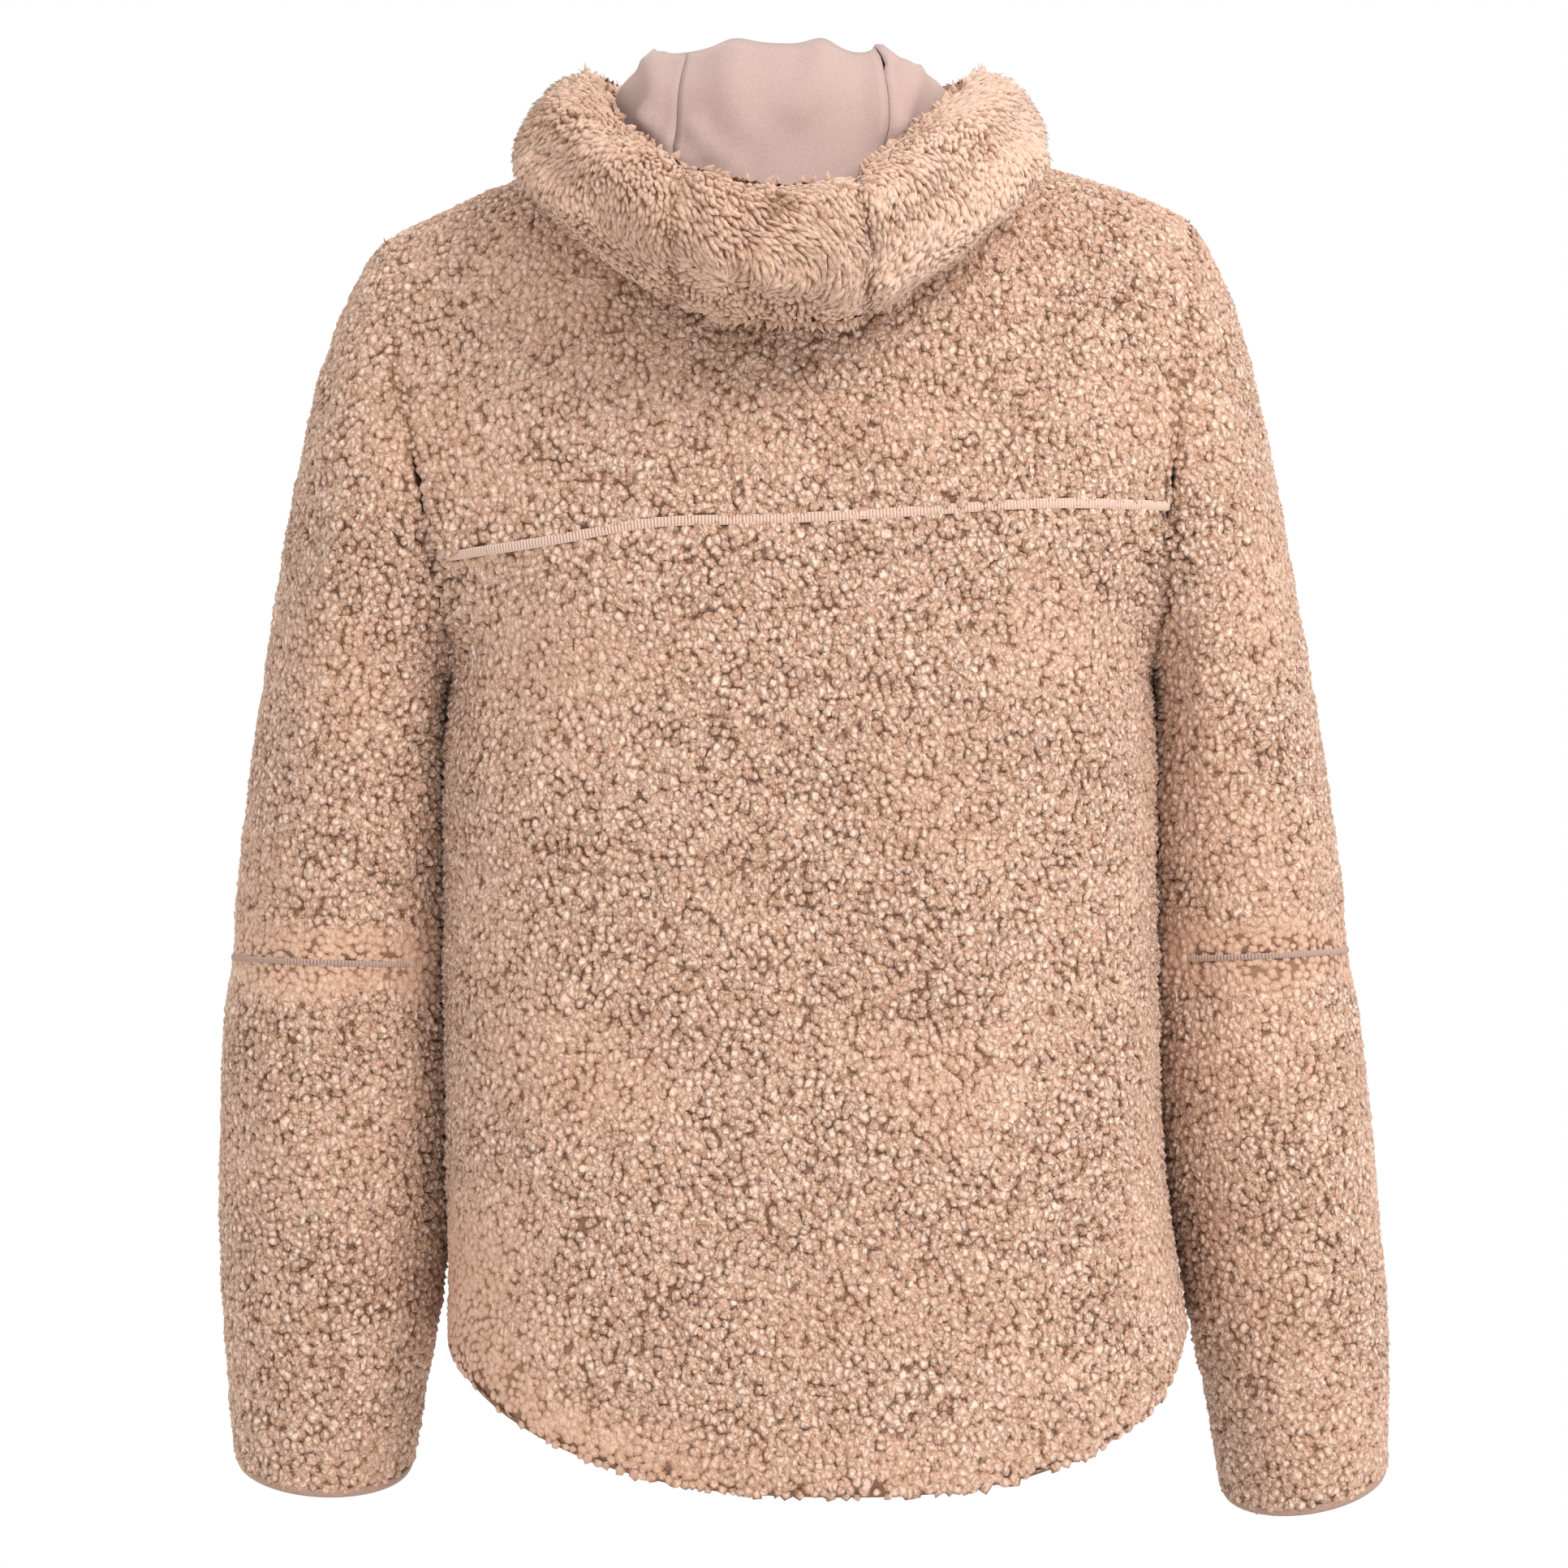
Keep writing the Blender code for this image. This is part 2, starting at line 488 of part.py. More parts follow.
def main():
    for old in list(bpy.data.objects):
        bpy.data.objects.remove(old, do_unlink=True)

    # The sleeves first, because their top rings are the armholes.
    seam_ends = YOKE_SEAM["z"][0], YOKE_SEAM["z"][-1]
    upper = np.linspace(0, 1, UPPER_ROWS + 1)
    lower = np.linspace(1, 2, LOWER_ROWS + 1)
    grids, closed, turns, names = [], [], [], []

    def add(name, grid, ring, turn):
        names.append(name)
        grids.append(grid)
        closed.append(ring)
        turns.append(turn)

    rings = {}
    for side, sleeve, seam_z, turn in (
        ("left", LEFT_SLEEVE, seam_ends[0], 1),
        ("right", RIGHT_SLEEVE, seam_ends[1], -1),
    ):
        add(f"sleeve_upper_{side}", sleeve_rings(sleeve, seam_z, upper), True, -turn)
        add(f"sleeve_lower_{side}", sleeve_rings(sleeve, seam_z, lower), True, -turn)
        rings[side] = grids[-2][0]
    back = body_half("back", rings["left"], rings["right"], BACK_NECK)
    front = body_half("front", rings["left"], rings["right"], FRONT_NECK)
    add("yoke_back", back[: YOKE_STEPS + 1], False, -1)
    add("back_panel", back[YOKE_STEPS:], False, -1)
    add("front_panel", front, False, 1)
    facts = dict(zip(names, normals(grids, closed, turns)))

    # The neckline, once round from the middle of the front over the left shoulder, as points and as the
    # directions out of the body there.
    def round_neck(front_rows, back_rows):
        front_neck = front_rows[0, SHOULDER_STEPS:-SHOULDER_STEPS]
        back_neck = back_rows[0, SHOULDER_STEPS:-SHOULDER_STEPS]
        half = len(front_neck) // 2
        return np.concatenate([front_neck[half::-1], back_neck[1:], front_neck[-2 : half - 1 : -1]])

    neck = round_neck(front, back)
    body_out = round_neck(facts["front_panel"][0], facts["yoke_back"][0])

    # The hood. Its first row lies on the neckline, with one more point in the middle of each step.
    base = halves(neck)
    across, back_way = (base[:, 0] - NECK_MIDDLE) / NECK_HALF, -base[:, 1] / FRONT_NECK["depth"]
    stations = np.degrees(np.arctan2(across, back_way))
    stations[0], stations[-1] = -180, 180
    hood = np.array([hood_section(p, at) for p, at in zip(base, stations)]).transpose(1, 0, 2)
    hood_ways = shorter_ways(hood, False)
    ((out, mitre),) = normals([hood], [False], [1])
    # A softer bend of the wall where the hood is creased.
    for _ in range(2):
        out[1:-1] += (out[:-2] + out[2:]) / 2
        out /= np.linalg.norm(out, axis=2)[:, :, None]
        mitre[1:-1] = (mitre[:-2] + 2 * mitre[1:-1] + mitre[2:]) / 4
    # Its two front edges meet in one plane.
    out[:, [0, -1], 0] = 0
    length = np.linalg.norm(out, axis=2)[:, :, None]
    out, mitre = out / length, np.clip(mitre / length, 1, HOOD_MITRE)
    # The seam at the neck leans half way between the body and the hood.
    lean = body_out + out[0, ::2]
    lean /= np.linalg.norm(lean, axis=1)[:, None]
    longer = np.clip(1 / (lean * out[0, ::2]).sum(1), 1, NECK_MITRE)[:, None]
    seam = halves(lean * longer)
    on_neck = {tuple(np.round(p, 4)): way for p, way in zip(neck, lean * longer)}

    for name, grid, ring, turn in zip(names, grids, closed, turns):
        normal, longest = facts[name]
        thick = np.full(grid.shape[:2] + (1,), SHERPA)
        if name in ("back_panel", "front_panel"):
            thick[-2:] = HEM_SHERPA
        inner = grid - normal * thick * longest
        for c, point in enumerate(grid[0]):
            way = on_neck.get(tuple(np.round(point, 4)))
            if way is not None and not ring:
                inner[0, c] = point - way * SHERPA
        sides = SEAM_SIDES.get(name, "top bottom" if "upper" in name else "top")
        move = set_back(grid, inner, ring, turn, sides.split())
        solid(name, grid + move, inner + move, ring, turn, shorter_ways(grid, ring), FLEECE, 0.95)
        if name.startswith("sleeve_lower"):
            down = grid[-1] - grid[-2]
            down /= np.linalg.norm(down, axis=1)[:, None]
            edge = [grid[-1] + down * low - normal[-1] * near for low, near, _ in BINDING_ROWS]
            back_face = [grid[-1] + down * low - normal[-1] * far for low, _, far in BINDING_ROWS]
            walls = np.array(edge), np.array(back_face)
            ways = shorter_ways(walls[0], True)
            solid(name.replace("sleeve_lower", "cuff_binding"), *walls, True, turn, ways, JERSEY, 0.85)

    thick = np.full(hood.shape[:2] + (1,), SHERPA)
    thick[-LINING_ROWS:] = RIM_SHERPA
    inward = out * thick * mitre
    inward[0] = seam * SHERPA
    to_lining = out * (SHERPA + LINING_GAP) * mitre
    to_lining[0] = seam * (SHERPA + LINING_GAP)
    half = len(FRONT_NECK["stations"]) // 2
    strip = [2 * (half + station) for station in STRIP_STATIONS]
    cells = len(base) - 1
    for side, a, b in (("left", 0, strip[0]), ("centre", *strip), ("right", strip[1], cells)):
        cut = np.s_[:, a : b + 1]
        ways = hood_ways.reshape(-1, cells)[:, a:b]
        outer, inner = hood[cut], (hood - inward)[cut]
        move = set_back(outer, inner, False, 1, ("top", "left", "right"), NECK_GAP)
        solid(f"hood_{side}", outer + move, inner + move, False, 1, ways.reshape(-1), PALE_FLEECE, 0.95)
        lined = len(hood) - LINING_ROWS
        near = (hood - to_lining)[cut][:lined] + move[:lined]
        far = near - out[cut][:lined] * LINING
        solid(f"lining_{side}", near, far, False, 1, ways[: lined - 1].reshape(-1), JERSEY, 0.8)


main()
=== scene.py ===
# %% [markdown]
# # A sherpa hoodie in Blender
# This lesson dresses the plain solids of a sherpa pullover. Each cut panel is a wall with facets at the
# start. It gets a rounded cloth of its own, and the cloth gets its pile: some fifty-five thousand small
# tufts. The seams, the jersey lining and the cuff bindings follow.
#
# Sizes are in metres. The back of the garment faces -Y, and Z is up.

# %% Open the frame
import math

import bmesh
import bpy
import numpy as np
from mathutils.bvhtree import BVHTree
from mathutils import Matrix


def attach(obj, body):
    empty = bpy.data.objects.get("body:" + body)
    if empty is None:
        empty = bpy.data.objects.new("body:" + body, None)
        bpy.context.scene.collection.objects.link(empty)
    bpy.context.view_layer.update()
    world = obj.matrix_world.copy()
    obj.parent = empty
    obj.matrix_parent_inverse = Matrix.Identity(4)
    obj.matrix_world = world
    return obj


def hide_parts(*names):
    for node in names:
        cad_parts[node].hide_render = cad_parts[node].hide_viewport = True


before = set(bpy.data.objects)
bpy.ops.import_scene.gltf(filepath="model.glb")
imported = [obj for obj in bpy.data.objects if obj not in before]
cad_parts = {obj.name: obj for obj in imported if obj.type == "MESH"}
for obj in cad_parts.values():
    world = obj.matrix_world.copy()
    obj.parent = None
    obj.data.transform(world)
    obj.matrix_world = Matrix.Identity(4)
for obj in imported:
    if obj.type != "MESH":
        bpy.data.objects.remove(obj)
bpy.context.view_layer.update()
MM = 0.001
rng = np.random.default_rng(11)
print("panels:", ", ".join(sorted(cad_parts)))

# %% [markdown]
# ## The camera and the light
# The photo is taken from behind at the middle of the garment's height, with a long lens, so that nothing
# bulges. A white room gives most of the light, so that no shadow is hard. A wide soft light from the right
# of the camera adds about half as much again, and makes the dark gaps between the curls show.

# %% Camera, room and floor
CAMERA = (-0.0112, -3.2, -0.308)
VIEW_WIDTH = 0.831  # how wide the view is at the garment
SENSOR = 36.0
scene = bpy.context.scene
lens = bpy.data.cameras.new("camera")
lens.sensor_width = SENSOR
lens.lens = SENSOR * -CAMERA[1] / VIEW_WIDTH
camera = bpy.data.objects.new("camera", lens)
camera.location = CAMERA
camera.rotation_euler = (math.pi / 2, 0, 0)
scene.collection.objects.link(camera)
scene.camera = camera
scene.view_settings.view_transform = "Standard"

world = bpy.data.worlds.new("white room")
world.use_nodes = True
world.node_tree.nodes["Background"].inputs["Color"].default_value = (1, 1, 1, 1)
world.node_tree.nodes["Background"].inputs["Strength"].default_value = 1.0
scene.world = world


def soft_light(name, place, aim, size, power):
    """A square area light that looks at a point."""
    data = bpy.data.lights.new(name, "AREA")
    data.size = size
    data.energy = power
    light = bpy.data.objects.new(name, data)
    light.location = place
    way = np.array(aim) - np.array(place)
    light.rotation_euler = (
        math.atan2(math.hypot(way[0], way[1]), -way[2]),
        0,
        math.atan2(way[1], way[0]) - math.pi / 2,
    )
    scene.collection.objects.link(light)


soft_light("key light", (1.6, -2.1, 1.7), (0, 0, -0.25), 1.1, 62)


def plain_material(name, colour, roughness):
    made = bpy.data.materials.new(name)
    made.use_nodes = True
    shader = made.node_tree.nodes["Principled BSDF"]
    shader.inputs["Base Color"].default_value = (*colour, 1)
    shader.inputs["Roughness"].default_value = roughness
    return made


FLOOR_Z = -0.95
bpy.ops.mesh.primitive_circle_add(vertices=96, radius=1.5, fill_type="NGON", location=(0, 0, FLOOR_Z))
floor = bpy.context.object
floor.name = "floor"
floor.data.materials.append(plain_material("pale floor", (0.86, 0.85, 0.84), 0.9))
print("lens", round(lens.lens, 1), "mm")

# %% [markdown]
# ## From a faceted solid to cloth
# The solids are closed walls of flat triangles. Joining the triangles into quads and subdividing them
# gives rounded cloth. A crease on the rims keeps the seams of two panels together, since both then
# follow the same curve. Sculpting would work too, but it wouldn't repeat exactly.

# %% Rounded cloth
RIM_ANGLE = math.radians(64)


def arrays(mesh):
    """Points and triangles of a mesh."""
    points = np.empty(len(mesh.vertices) * 3)
    mesh.vertices.foreach_get("co", points)
    mesh.calc_loop_triangles()
    corners = np.empty(len(mesh.loop_triangles) * 3, np.int32)
    mesh.loop_triangles.foreach_get("vertices", corners)
    return points.reshape(-1, 3), corners.reshape(-1, 3)


def point_normals(mesh):
    found = np.empty(len(mesh.vertices) * 3)
    mesh.vertices.foreach_get("normal", found)
    return found.reshape(-1, 3)


def tree_of(mesh):
    points, triangles = arrays(mesh)
    return BVHTree.FromPolygons(points.tolist(), triangles.tolist())


def rounded_cloth(node, levels):
    """A smooth copy of a panel's wall, which stands for the solid."""
    bm = bmesh.new()
    bm.from_mesh(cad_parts[node].data)
    bmesh.ops.remove_doubles(bm, verts=bm.verts, dist=1e-5)
    bmesh.ops.join_triangles(
        bm, faces=bm.faces, angle_face_threshold=math.radians(50), angle_shape_threshold=math.radians(50)
    )
    crease = bm.edges.layers.float.new("crease_edge")
    for edge in bm.edges:
        if edge.calc_face_angle(0) > RIM_ANGLE:
            edge[crease] = 1
    mesh = bpy.data.meshes.new(node + "_cloth")
    bm.to_mesh(mesh)
    bm.free()
    cloth = bpy.data.objects.new(node + "_cloth", mesh)
    scene.collection.objects.link(cloth)
    rounding = cloth.modifiers.new("rounding", "SUBSURF")
    rounding.levels = levels
    view = bpy.context.evaluated_depsgraph_get()
    cloth.data = bpy.data.meshes.new_from_object(cloth.evaluated_get(view))
    cloth.modifiers.clear()
    cloth.data.name = node + "_cloth"
    cloth.data.shade_smooth()
    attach(cloth, "root")
    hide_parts(node)
    return cloth


BODY_PANELS = ("yoke_back", "back_panel", "front_panel")
SIDE_NAMES = ("left", "right")
SLEEVE_PANELS = tuple(f"sleeve_{part}_{side}" for part in ("upper", "lower") for side in SIDE_NAMES)
HOOD_PANELS = ("hood_left", "hood_centre", "hood_right")
LININGS = ("lining_left", "lining_centre", "lining_right")
BINDINGS = ("cuff_binding_left", "cuff_binding_right")
FLEECE_PANELS = BODY_PANELS + SLEEVE_PANELS + HOOD_PANELS
FINE = HOOD_PANELS + LININGS  # these fold in small curves, so they are rounded twice
ALL_PANELS = FLEECE_PANELS + LININGS + BINDINGS
cloths = {node: rounded_cloth(node, 2 if node in FINE else 1) for node in ALL_PANELS}
print("triangles of cloth:", sum(len(arrays(cloth.data)[1]) for cloth in cloths.values()))

# %% [markdown]
# ## Which side is the outside
# Pile grows on the outer face only. For the body and the sleeves that is the face that looks away from
# the middle of the hollow. The hood folds over, so there it is each face that doesn't lie on the lining.

# %% Outer faces
lining_trees = [tree_of(cloths[node].data) for node in LININGS]
ON_LINING = 1.6 * MM


def hollow_middle(node, points):
    """A point in the middle of the hollow for each point of a panel."""
    if node.startswith("sleeve"):
        side = -1 if node.endswith("left") else 1
        z = points[:, 2]
        # How far out the middle of the sleeve is, by height. The right sleeve hangs 10 mm nearer.
        if "upper" in node:
            reach = np.interp(z, [-0.40, -0.25, -0.02], [0.247, 0.228, 0.196])
        else:
            reach = np.interp(z, [-0.69, -0.53, -0.40], [0.258, 0.250, 0.247])
        reach = reach - (0.010 if side > 0 else 0)
        middle = np.stack([side * reach, 0 * z + 0.022, z], 1)
        top = np.clip((z + 0.12) / 0.12, 0, 1)
        middle[:, 2] -= 0.05 * top
        middle[:, 0] -= side * 0.02 * top
        return middle
    # Near the shoulders the middle lies lower, so that their tops look away from it.
    middle = points.copy()
    middle[:, 0] *= np.interp(points[:, 2], [-0.3, -0.1], [0.35, 0.8])
    middle[:, 1] = 0
    middle[:, 2] = np.minimum(points[:, 2], -0.02) - np.interp(points[:, 2], [-0.2, -0.05], [0, 0.07])
    return middle


def outer_share(node, points, normals):
    """1 for the points of a panel that are on its outer face, 0 for the others."""
    if node.startswith("hood"):
        near = [
            any(tree.find_nearest(point, ON_LINING)[0] is not None for tree in lining_trees)
            for point in points.tolist()
        ]
        return 1.0 - np.array(near, float)
    away = points - hollow_middle(node, points)
    return ((away * normals).sum(1) > 0).astype(float)


def set_attribute(mesh, name, values):
    layer = mesh.attributes.new(name, "FLOAT", "POINT")
    layer.data.foreach_set("value", np.asarray(values, np.float32).ravel())


outer = {}
for node in FLEECE_PANELS:
    mesh = cloths[node].data
    points, _ = arrays(mesh)
    outer[node] = outer_share(node, points, point_normals(mesh))
    print(node, "outer share", round(float(outer[node].mean()), 2))

# %% [markdown]
# ## Where the seams run
# A seam is where the outer rim of one panel lies beside another panel. Its edges are chained into a
# line. The line places the stitches, and the distance to it tells how flat the pile is pressed.

# %% Seam lines
BESIDE = 2.2 * MM


def chained(edges, points):
    """Orders loose edges into the longest line of points that they make."""
    links = {}
    for a, b in edges:
        links.setdefault(a, []).append(b)
        links.setdefault(b, []).append(a)
    lines = []
    while links:
        start = next((k for k, v in links.items() if len(v) == 1), next(iter(links)))
        line, at = [start], start
        while links.get(at):
            to = links[at].pop()
            links[to].remove(at)
            line.append(to)
            if not links[at]:
                del links[at]
            at = to
        links.pop(at, None)
        lines.append(points[line])
    return max(lines, key=lambda line: np.linalg.norm(np.diff(line, axis=0), axis=1).sum())


def seam_line(node, other):
    """The outer edge of one panel where it lies beside another one."""
    mesh = cloths[node].data
    points, _ = arrays(mesh)
    tree = tree_of(cloths[other].data)
    beside = np.array([tree.find_nearest(p, BESIDE)[0] is not None for p in points.tolist()])
    good = beside & (outer[node] > 0.5)
    bm = bmesh.new()
    bm.from_mesh(mesh)
    edges = [
        (e.verts[0].index, e.verts[1].index)
        for e in bm.edges
        if good[e.verts[0].index] and good[e.verts[1].index] and e.calc_face_angle(0) > math.radians(30)
    ]
    bm.free()
    return chained(edges, points)


def even_steps(line, step):
    """Points along a line at equal distances."""
    far = np.concatenate([[0], np.cumsum(np.linalg.norm(np.diff(line, axis=0), axis=1))])
    at = np.linspace(0, far[-1], max(int(round(far[-1] / step)), 2) + 1)
    return np.stack([np.interp(at, far, line[:, k]) for k in range(3)], 1)


seams = {
    "yoke": seam_line("yoke_back", "back_panel"),
    "elbow_left": seam_line("sleeve_upper_left", "sleeve_lower_left"),
    "elbow_right": seam_line("sleeve_upper_right", "sleeve_lower_right"),
    "hood_seam_left": seam_line("hood_left", "hood_centre"),
    "hood_seam_right": seam_line("hood_right", "hood_centre"),
    "armhole_left": seam_line("sleeve_upper_left", "yoke_back"),
    "armhole_right": seam_line("sleeve_upper_right", "yoke_back"),
    "armhole_front_left": seam_line("sleeve_upper_left", "front_panel"),
    "armhole_front_right": seam_line("sleeve_upper_right", "front_panel"),
}
for name, line in seams.items():
    print(name, len(line), "points", np.linalg.norm(np.diff(line, axis=0), axis=1).sum().round(3), "m")

# %% [markdown]
# ## Where pile grows
# A face carries pile when it looks out of the hollow, or lies on the hood away from its lining. The rims
# that are sewn to another panel have none. Under the pile the cloth is pushed in, so that the tips of the
# pile end where the solid ends. It could be left in place, but then the garment would come out about 5 mm
# too wide.

# %% Faces under pile
UNDER_PILE = 2.6 * MM
SEWN = 0.7 * MM
# How far inwards a face may look and still carry pile: the hem is turned, but the cuff is bound.
FURTHEST_IN = {"sleeve": 0.35, "": -0.35}
panel_trees = {node: tree_of(cloths[node].data) for node in FLEECE_PANELS}


def face_facts(mesh):
    count = len(mesh.polygons)
    centres, normals, areas = np.empty(count * 3), np.empty(count * 3), np.empty(count)
    mesh.polygons.foreach_get("center", centres)
    mesh.polygons.foreach_get("normal", normals)
    mesh.polygons.foreach_get("area", areas)
    return centres.reshape(-1, 3), normals.reshape(-1, 3), areas


def grows_pile(node, centres, normals):
    """Which faces of a panel carry pile."""
    others = [tree for name, tree in panel_trees.items() if name != node]
    sewn = [any(tree.find_nearest(c, SEWN)[0] is not None for tree in others) for c in centres.tolist()]
    if node.startswith("hood"):
        out = outer_share(node, centres, normals) > 0.5
    else:
        away = centres - hollow_middle(node, centres)
        away /= np.linalg.norm(away, axis=1)[:, None]
        least = next(value for start, value in FURTHEST_IN.items() if node.startswith(start))
        out = (away * normals).sum(1) > least
    return out & ~np.array(sewn)


def push_in(node):
    """Marks the faces with pile, and moves them in by the depth of the pile."""
    mesh = cloths[node].data
    centres, normals, areas = face_facts(mesh)
    pile = grows_pile(node, centres, normals)
    corner_points = np.empty(len(mesh.loops), np.int32)
    mesh.loops.foreach_get("vertex_index", corner_points)
    sizes = np.empty(len(mesh.polygons), np.int32)
    mesh.polygons.foreach_get("loop_total", sizes)
    corner_faces = np.repeat(np.arange(len(sizes)), sizes)
    chosen = pile[corner_faces]
    out = np.zeros((len(mesh.vertices), 3))
    np.add.at(out, corner_points[chosen], (normals * areas[:, None])[corner_faces[chosen]])
    length = np.linalg.norm(out, axis=1)[:, None]
    out = np.where(length > 0, out / np.maximum(length, 1e-12), 0)
    points, _ = arrays(mesh)
    mesh.vertices.foreach_set("co", (points - out * UNDER_PILE).ravel())
    layer = mesh.attributes.new("pile", "FLOAT", "FACE")
    layer.data.foreach_set("value", pile.astype(np.float32))
    layer = mesh.attributes.new("grow", "FLOAT_VECTOR", "POINT")
    layer.data.foreach_set("vector", out.astype(np.float32).ravel())
    mesh.update()
    return float(areas[pile].sum())


pile_area = {node: push_in(node) for node in FLEECE_PANELS}
print("pile on", round(sum(pile_area.values()), 3), "square metres")

# %% [markdown]
# ## Creases
# Soft folds are placed where the photo shows them, as lines across the picture. Each line is cast from the
# camera onto the cloth. Then the cloth near it rises or sinks in a smooth wave. Similar ones go on the
# front, cast from a camera opposite. A cloth simulation would give folds too, but not these ones.

# %% Folds
PICTURE = 1932  # the picture's width in pixels
PIXEL = VIEW_WIDTH / PICTURE
# side, panels, height and half width in mm, then the line: x y x y x y in pixels of the picture
CREASES = (
    ("back", "hood", 7.0, 9, 1225, 118, 1165, 190, 1085, 262),
    ("back", "hood", -3.0, 4, 1262, 140, 1185, 215, 1078, 300),
    ("back", "hood", 8.5, 11, 1275, 195, 1200, 275, 1095, 345),
    ("back", "hood", 6.0, 9, 690, 125, 760, 215, 832, 268),
    ("back", "hood", -2.5, 4, 652, 165, 745, 262, 828, 318),
    ("back", "hood", 6.0, 9, 650, 205, 745, 305, 815, 345),
    ("back", "hood", 6.5, 7, 868, 222, 880, 290, 878, 350),
    ("back", "hood", 6.5, 7, 1030, 232, 1030, 300, 1035, 350),
    ("back", "hood", -6.0, 4, 955, 240, 957, 247, 958, 255),
    ("back", "hood", -2.5, 5, 957, 255, 925, 300, 905, 335),
    ("back", "hood", -2.0, 5, 960, 255, 985, 300, 1000, 330),
    ("back", "hood", 5.0, 7, 940, 330, 965, 345, 990, 340),
    ("back", "body", 3.0, 17, 1150, 780, 1190, 860, 1232, 960),
    ("back", "body", -2.2, 15, 1120, 1130, 1155, 1260, 1135, 1400),
    ("back", "body", 2.6, 14, 1190, 1110, 1215, 1270, 1190, 1420),
    ("back", "body", -2.0, 14, 955, 860, 970, 960, 990, 1080),
    ("back", "body", 2.2, 18, 890, 1120, 940, 1240, 930, 1400),
    ("back", "body", 2.5, 15, 1365, 1360, 1400, 1320, 1425, 1270),
    ("back", "body", -2.0, 13, 1290, 1180, 1300, 1320, 1275, 1440),
    ("back", "body", -2.0, 16, 640, 700, 625, 820, 640, 940),
    ("back", "body", 2.4, 16, 690, 1180, 660, 1320, 690, 1450),
    ("back", "body", -2.0, 16, 800, 1460, 900, 1540, 1010, 1560),
    ("back", "body", -2.2, 12, 560, 400, 585, 470, 600, 560),
    ("back", "body", -2.0, 14, 1350, 300, 1370, 400, 1365, 520),
    ("back", "body", 2.2, 16, 1230, 440, 1200, 520, 1210, 600),
    ("back", "sleeve", -3.0, 13, 1525, 720, 1540, 850, 1540, 980),
    ("back", "sleeve", 2.8, 12, 1480, 700, 1490, 860, 1490, 1040),
    ("back", "sleeve", -2.6, 10, 1450, 1215, 1530, 1250, 1600, 1235),
    ("back", "sleeve", -3.0, 11, 320, 1110, 400, 1135, 480, 1120),
    ("back", "sleeve", 2.8, 12, 420, 640, 400, 780, 380, 900),
    ("back", "sleeve", -2.6, 12, 470, 700, 455, 850, 450, 980),
    ("back", "sleeve", 3.0, 12, 340, 1380, 400, 1470, 420, 1580),
    ("back", "sleeve", -2.6, 12, 1580, 1380, 1545, 1480, 1550, 1600),
    ("front", "body", -2.5, 15, 820, 900, 850, 1060, 830, 1240),
    ("front", "body", 2.6, 17, 1090, 820, 1060, 1000, 1090, 1180),
    ("front", "body", 2.4, 15, 700, 1200, 740, 1330, 720, 1480),
    ("front", "body", -2.2, 15, 1180, 1180, 1200, 1330, 1170, 1450),
    ("front", "body", -2.4, 13, 640, 560, 660, 680, 650, 800),
    ("front", "body", 2.4, 14, 1290, 560, 1270, 690, 1290, 820),
    ("front", "sleeve", -2.8, 12, 400, 800, 420, 930, 400, 1050),
    ("front", "sleeve", 2.8, 12, 1560, 760, 1540, 900, 1560, 1030),
    ("front", "sleeve", 2.6, 12, 420, 1350, 400, 1480, 420, 1580),
    ("front", "sleeve", -2.6, 12, 1500, 1330, 1530, 1450, 1510, 1560),
)
# The same for the jersey, which can only rise, because the hood lies close behind it.
LINING_CREASES = (
    (8.0, 9, 1094, 56, 1088, 110, 1092, 165),
    (5.0, 6, 795, 145, 822, 178, 850, 202),
    (4.5, 9, 1012, 58, 1008, 95, 985, 135),
    (4.5, 6, 855, 160, 878, 188, 905, 208),
    (6.0, 7, 1128, 92, 1115, 125, 1105, 160),
    (3.5, 11, 905, 56, 900, 105, 915, 160),
    (5.0, 8, 800, 66, 810, 105, 806, 150),
)
GROUPS = {"hood": HOOD_PANELS, "body": BODY_PANELS, "sleeve": SLEEVE_PANELS, "lining": LININGS}
cloth_trees = {**panel_trees, **dict(zip(LININGS, lining_trees))}


def seen_at(x, y, nodes, side="back"):
    """The place on some panels that lies behind a pixel of the picture."""
    eye = np.array(CAMERA)
    right, up = (x - PICTURE / 2) * PIXEL, (PICTURE / 2 - y) * PIXEL
    aim = np.array((CAMERA[0] + right, 0, CAMERA[2] + up))
    if side == "front":
        eye = eye * (1, -1, 1)
    way = (aim - eye) / np.linalg.norm(aim - eye)
    hits = [cloth_trees[node].ray_cast(eye.tolist(), way.tolist()) for node in nodes]
    hits = [(hit[3], hit[0]) for hit in hits if hit[0] is not None]
    return np.array(min(hits, key=lambda hit: hit[0])[1]) if hits else None


def bent(v, share):
    """A smooth curve through three values."""
    return (
        v[0] * (1 - share) * (1 - 2 * share)
        + v[1] * 4 * share * (1 - share)
        + v[2] * share * (2 * share - 1)
    )


def crease_line(xy, nodes, side="back"):
    """A bent line over the picture, laid onto the cloth."""
    x, y = np.array(xy[::2], float), np.array(xy[1::2], float)
    share = np.linspace(0, 1, 12)
    found = [seen_at(a, b, nodes, side) for a, b in zip(bent(x, share), bent(y, share))]
    return np.array([place for place in found if place is not None])


def nearest_square(line, places):
    best = np.full(len(places), 1.0)
    for spot in line:
        best = np.minimum(best, ((places - spot) ** 2).sum(1))
    return best


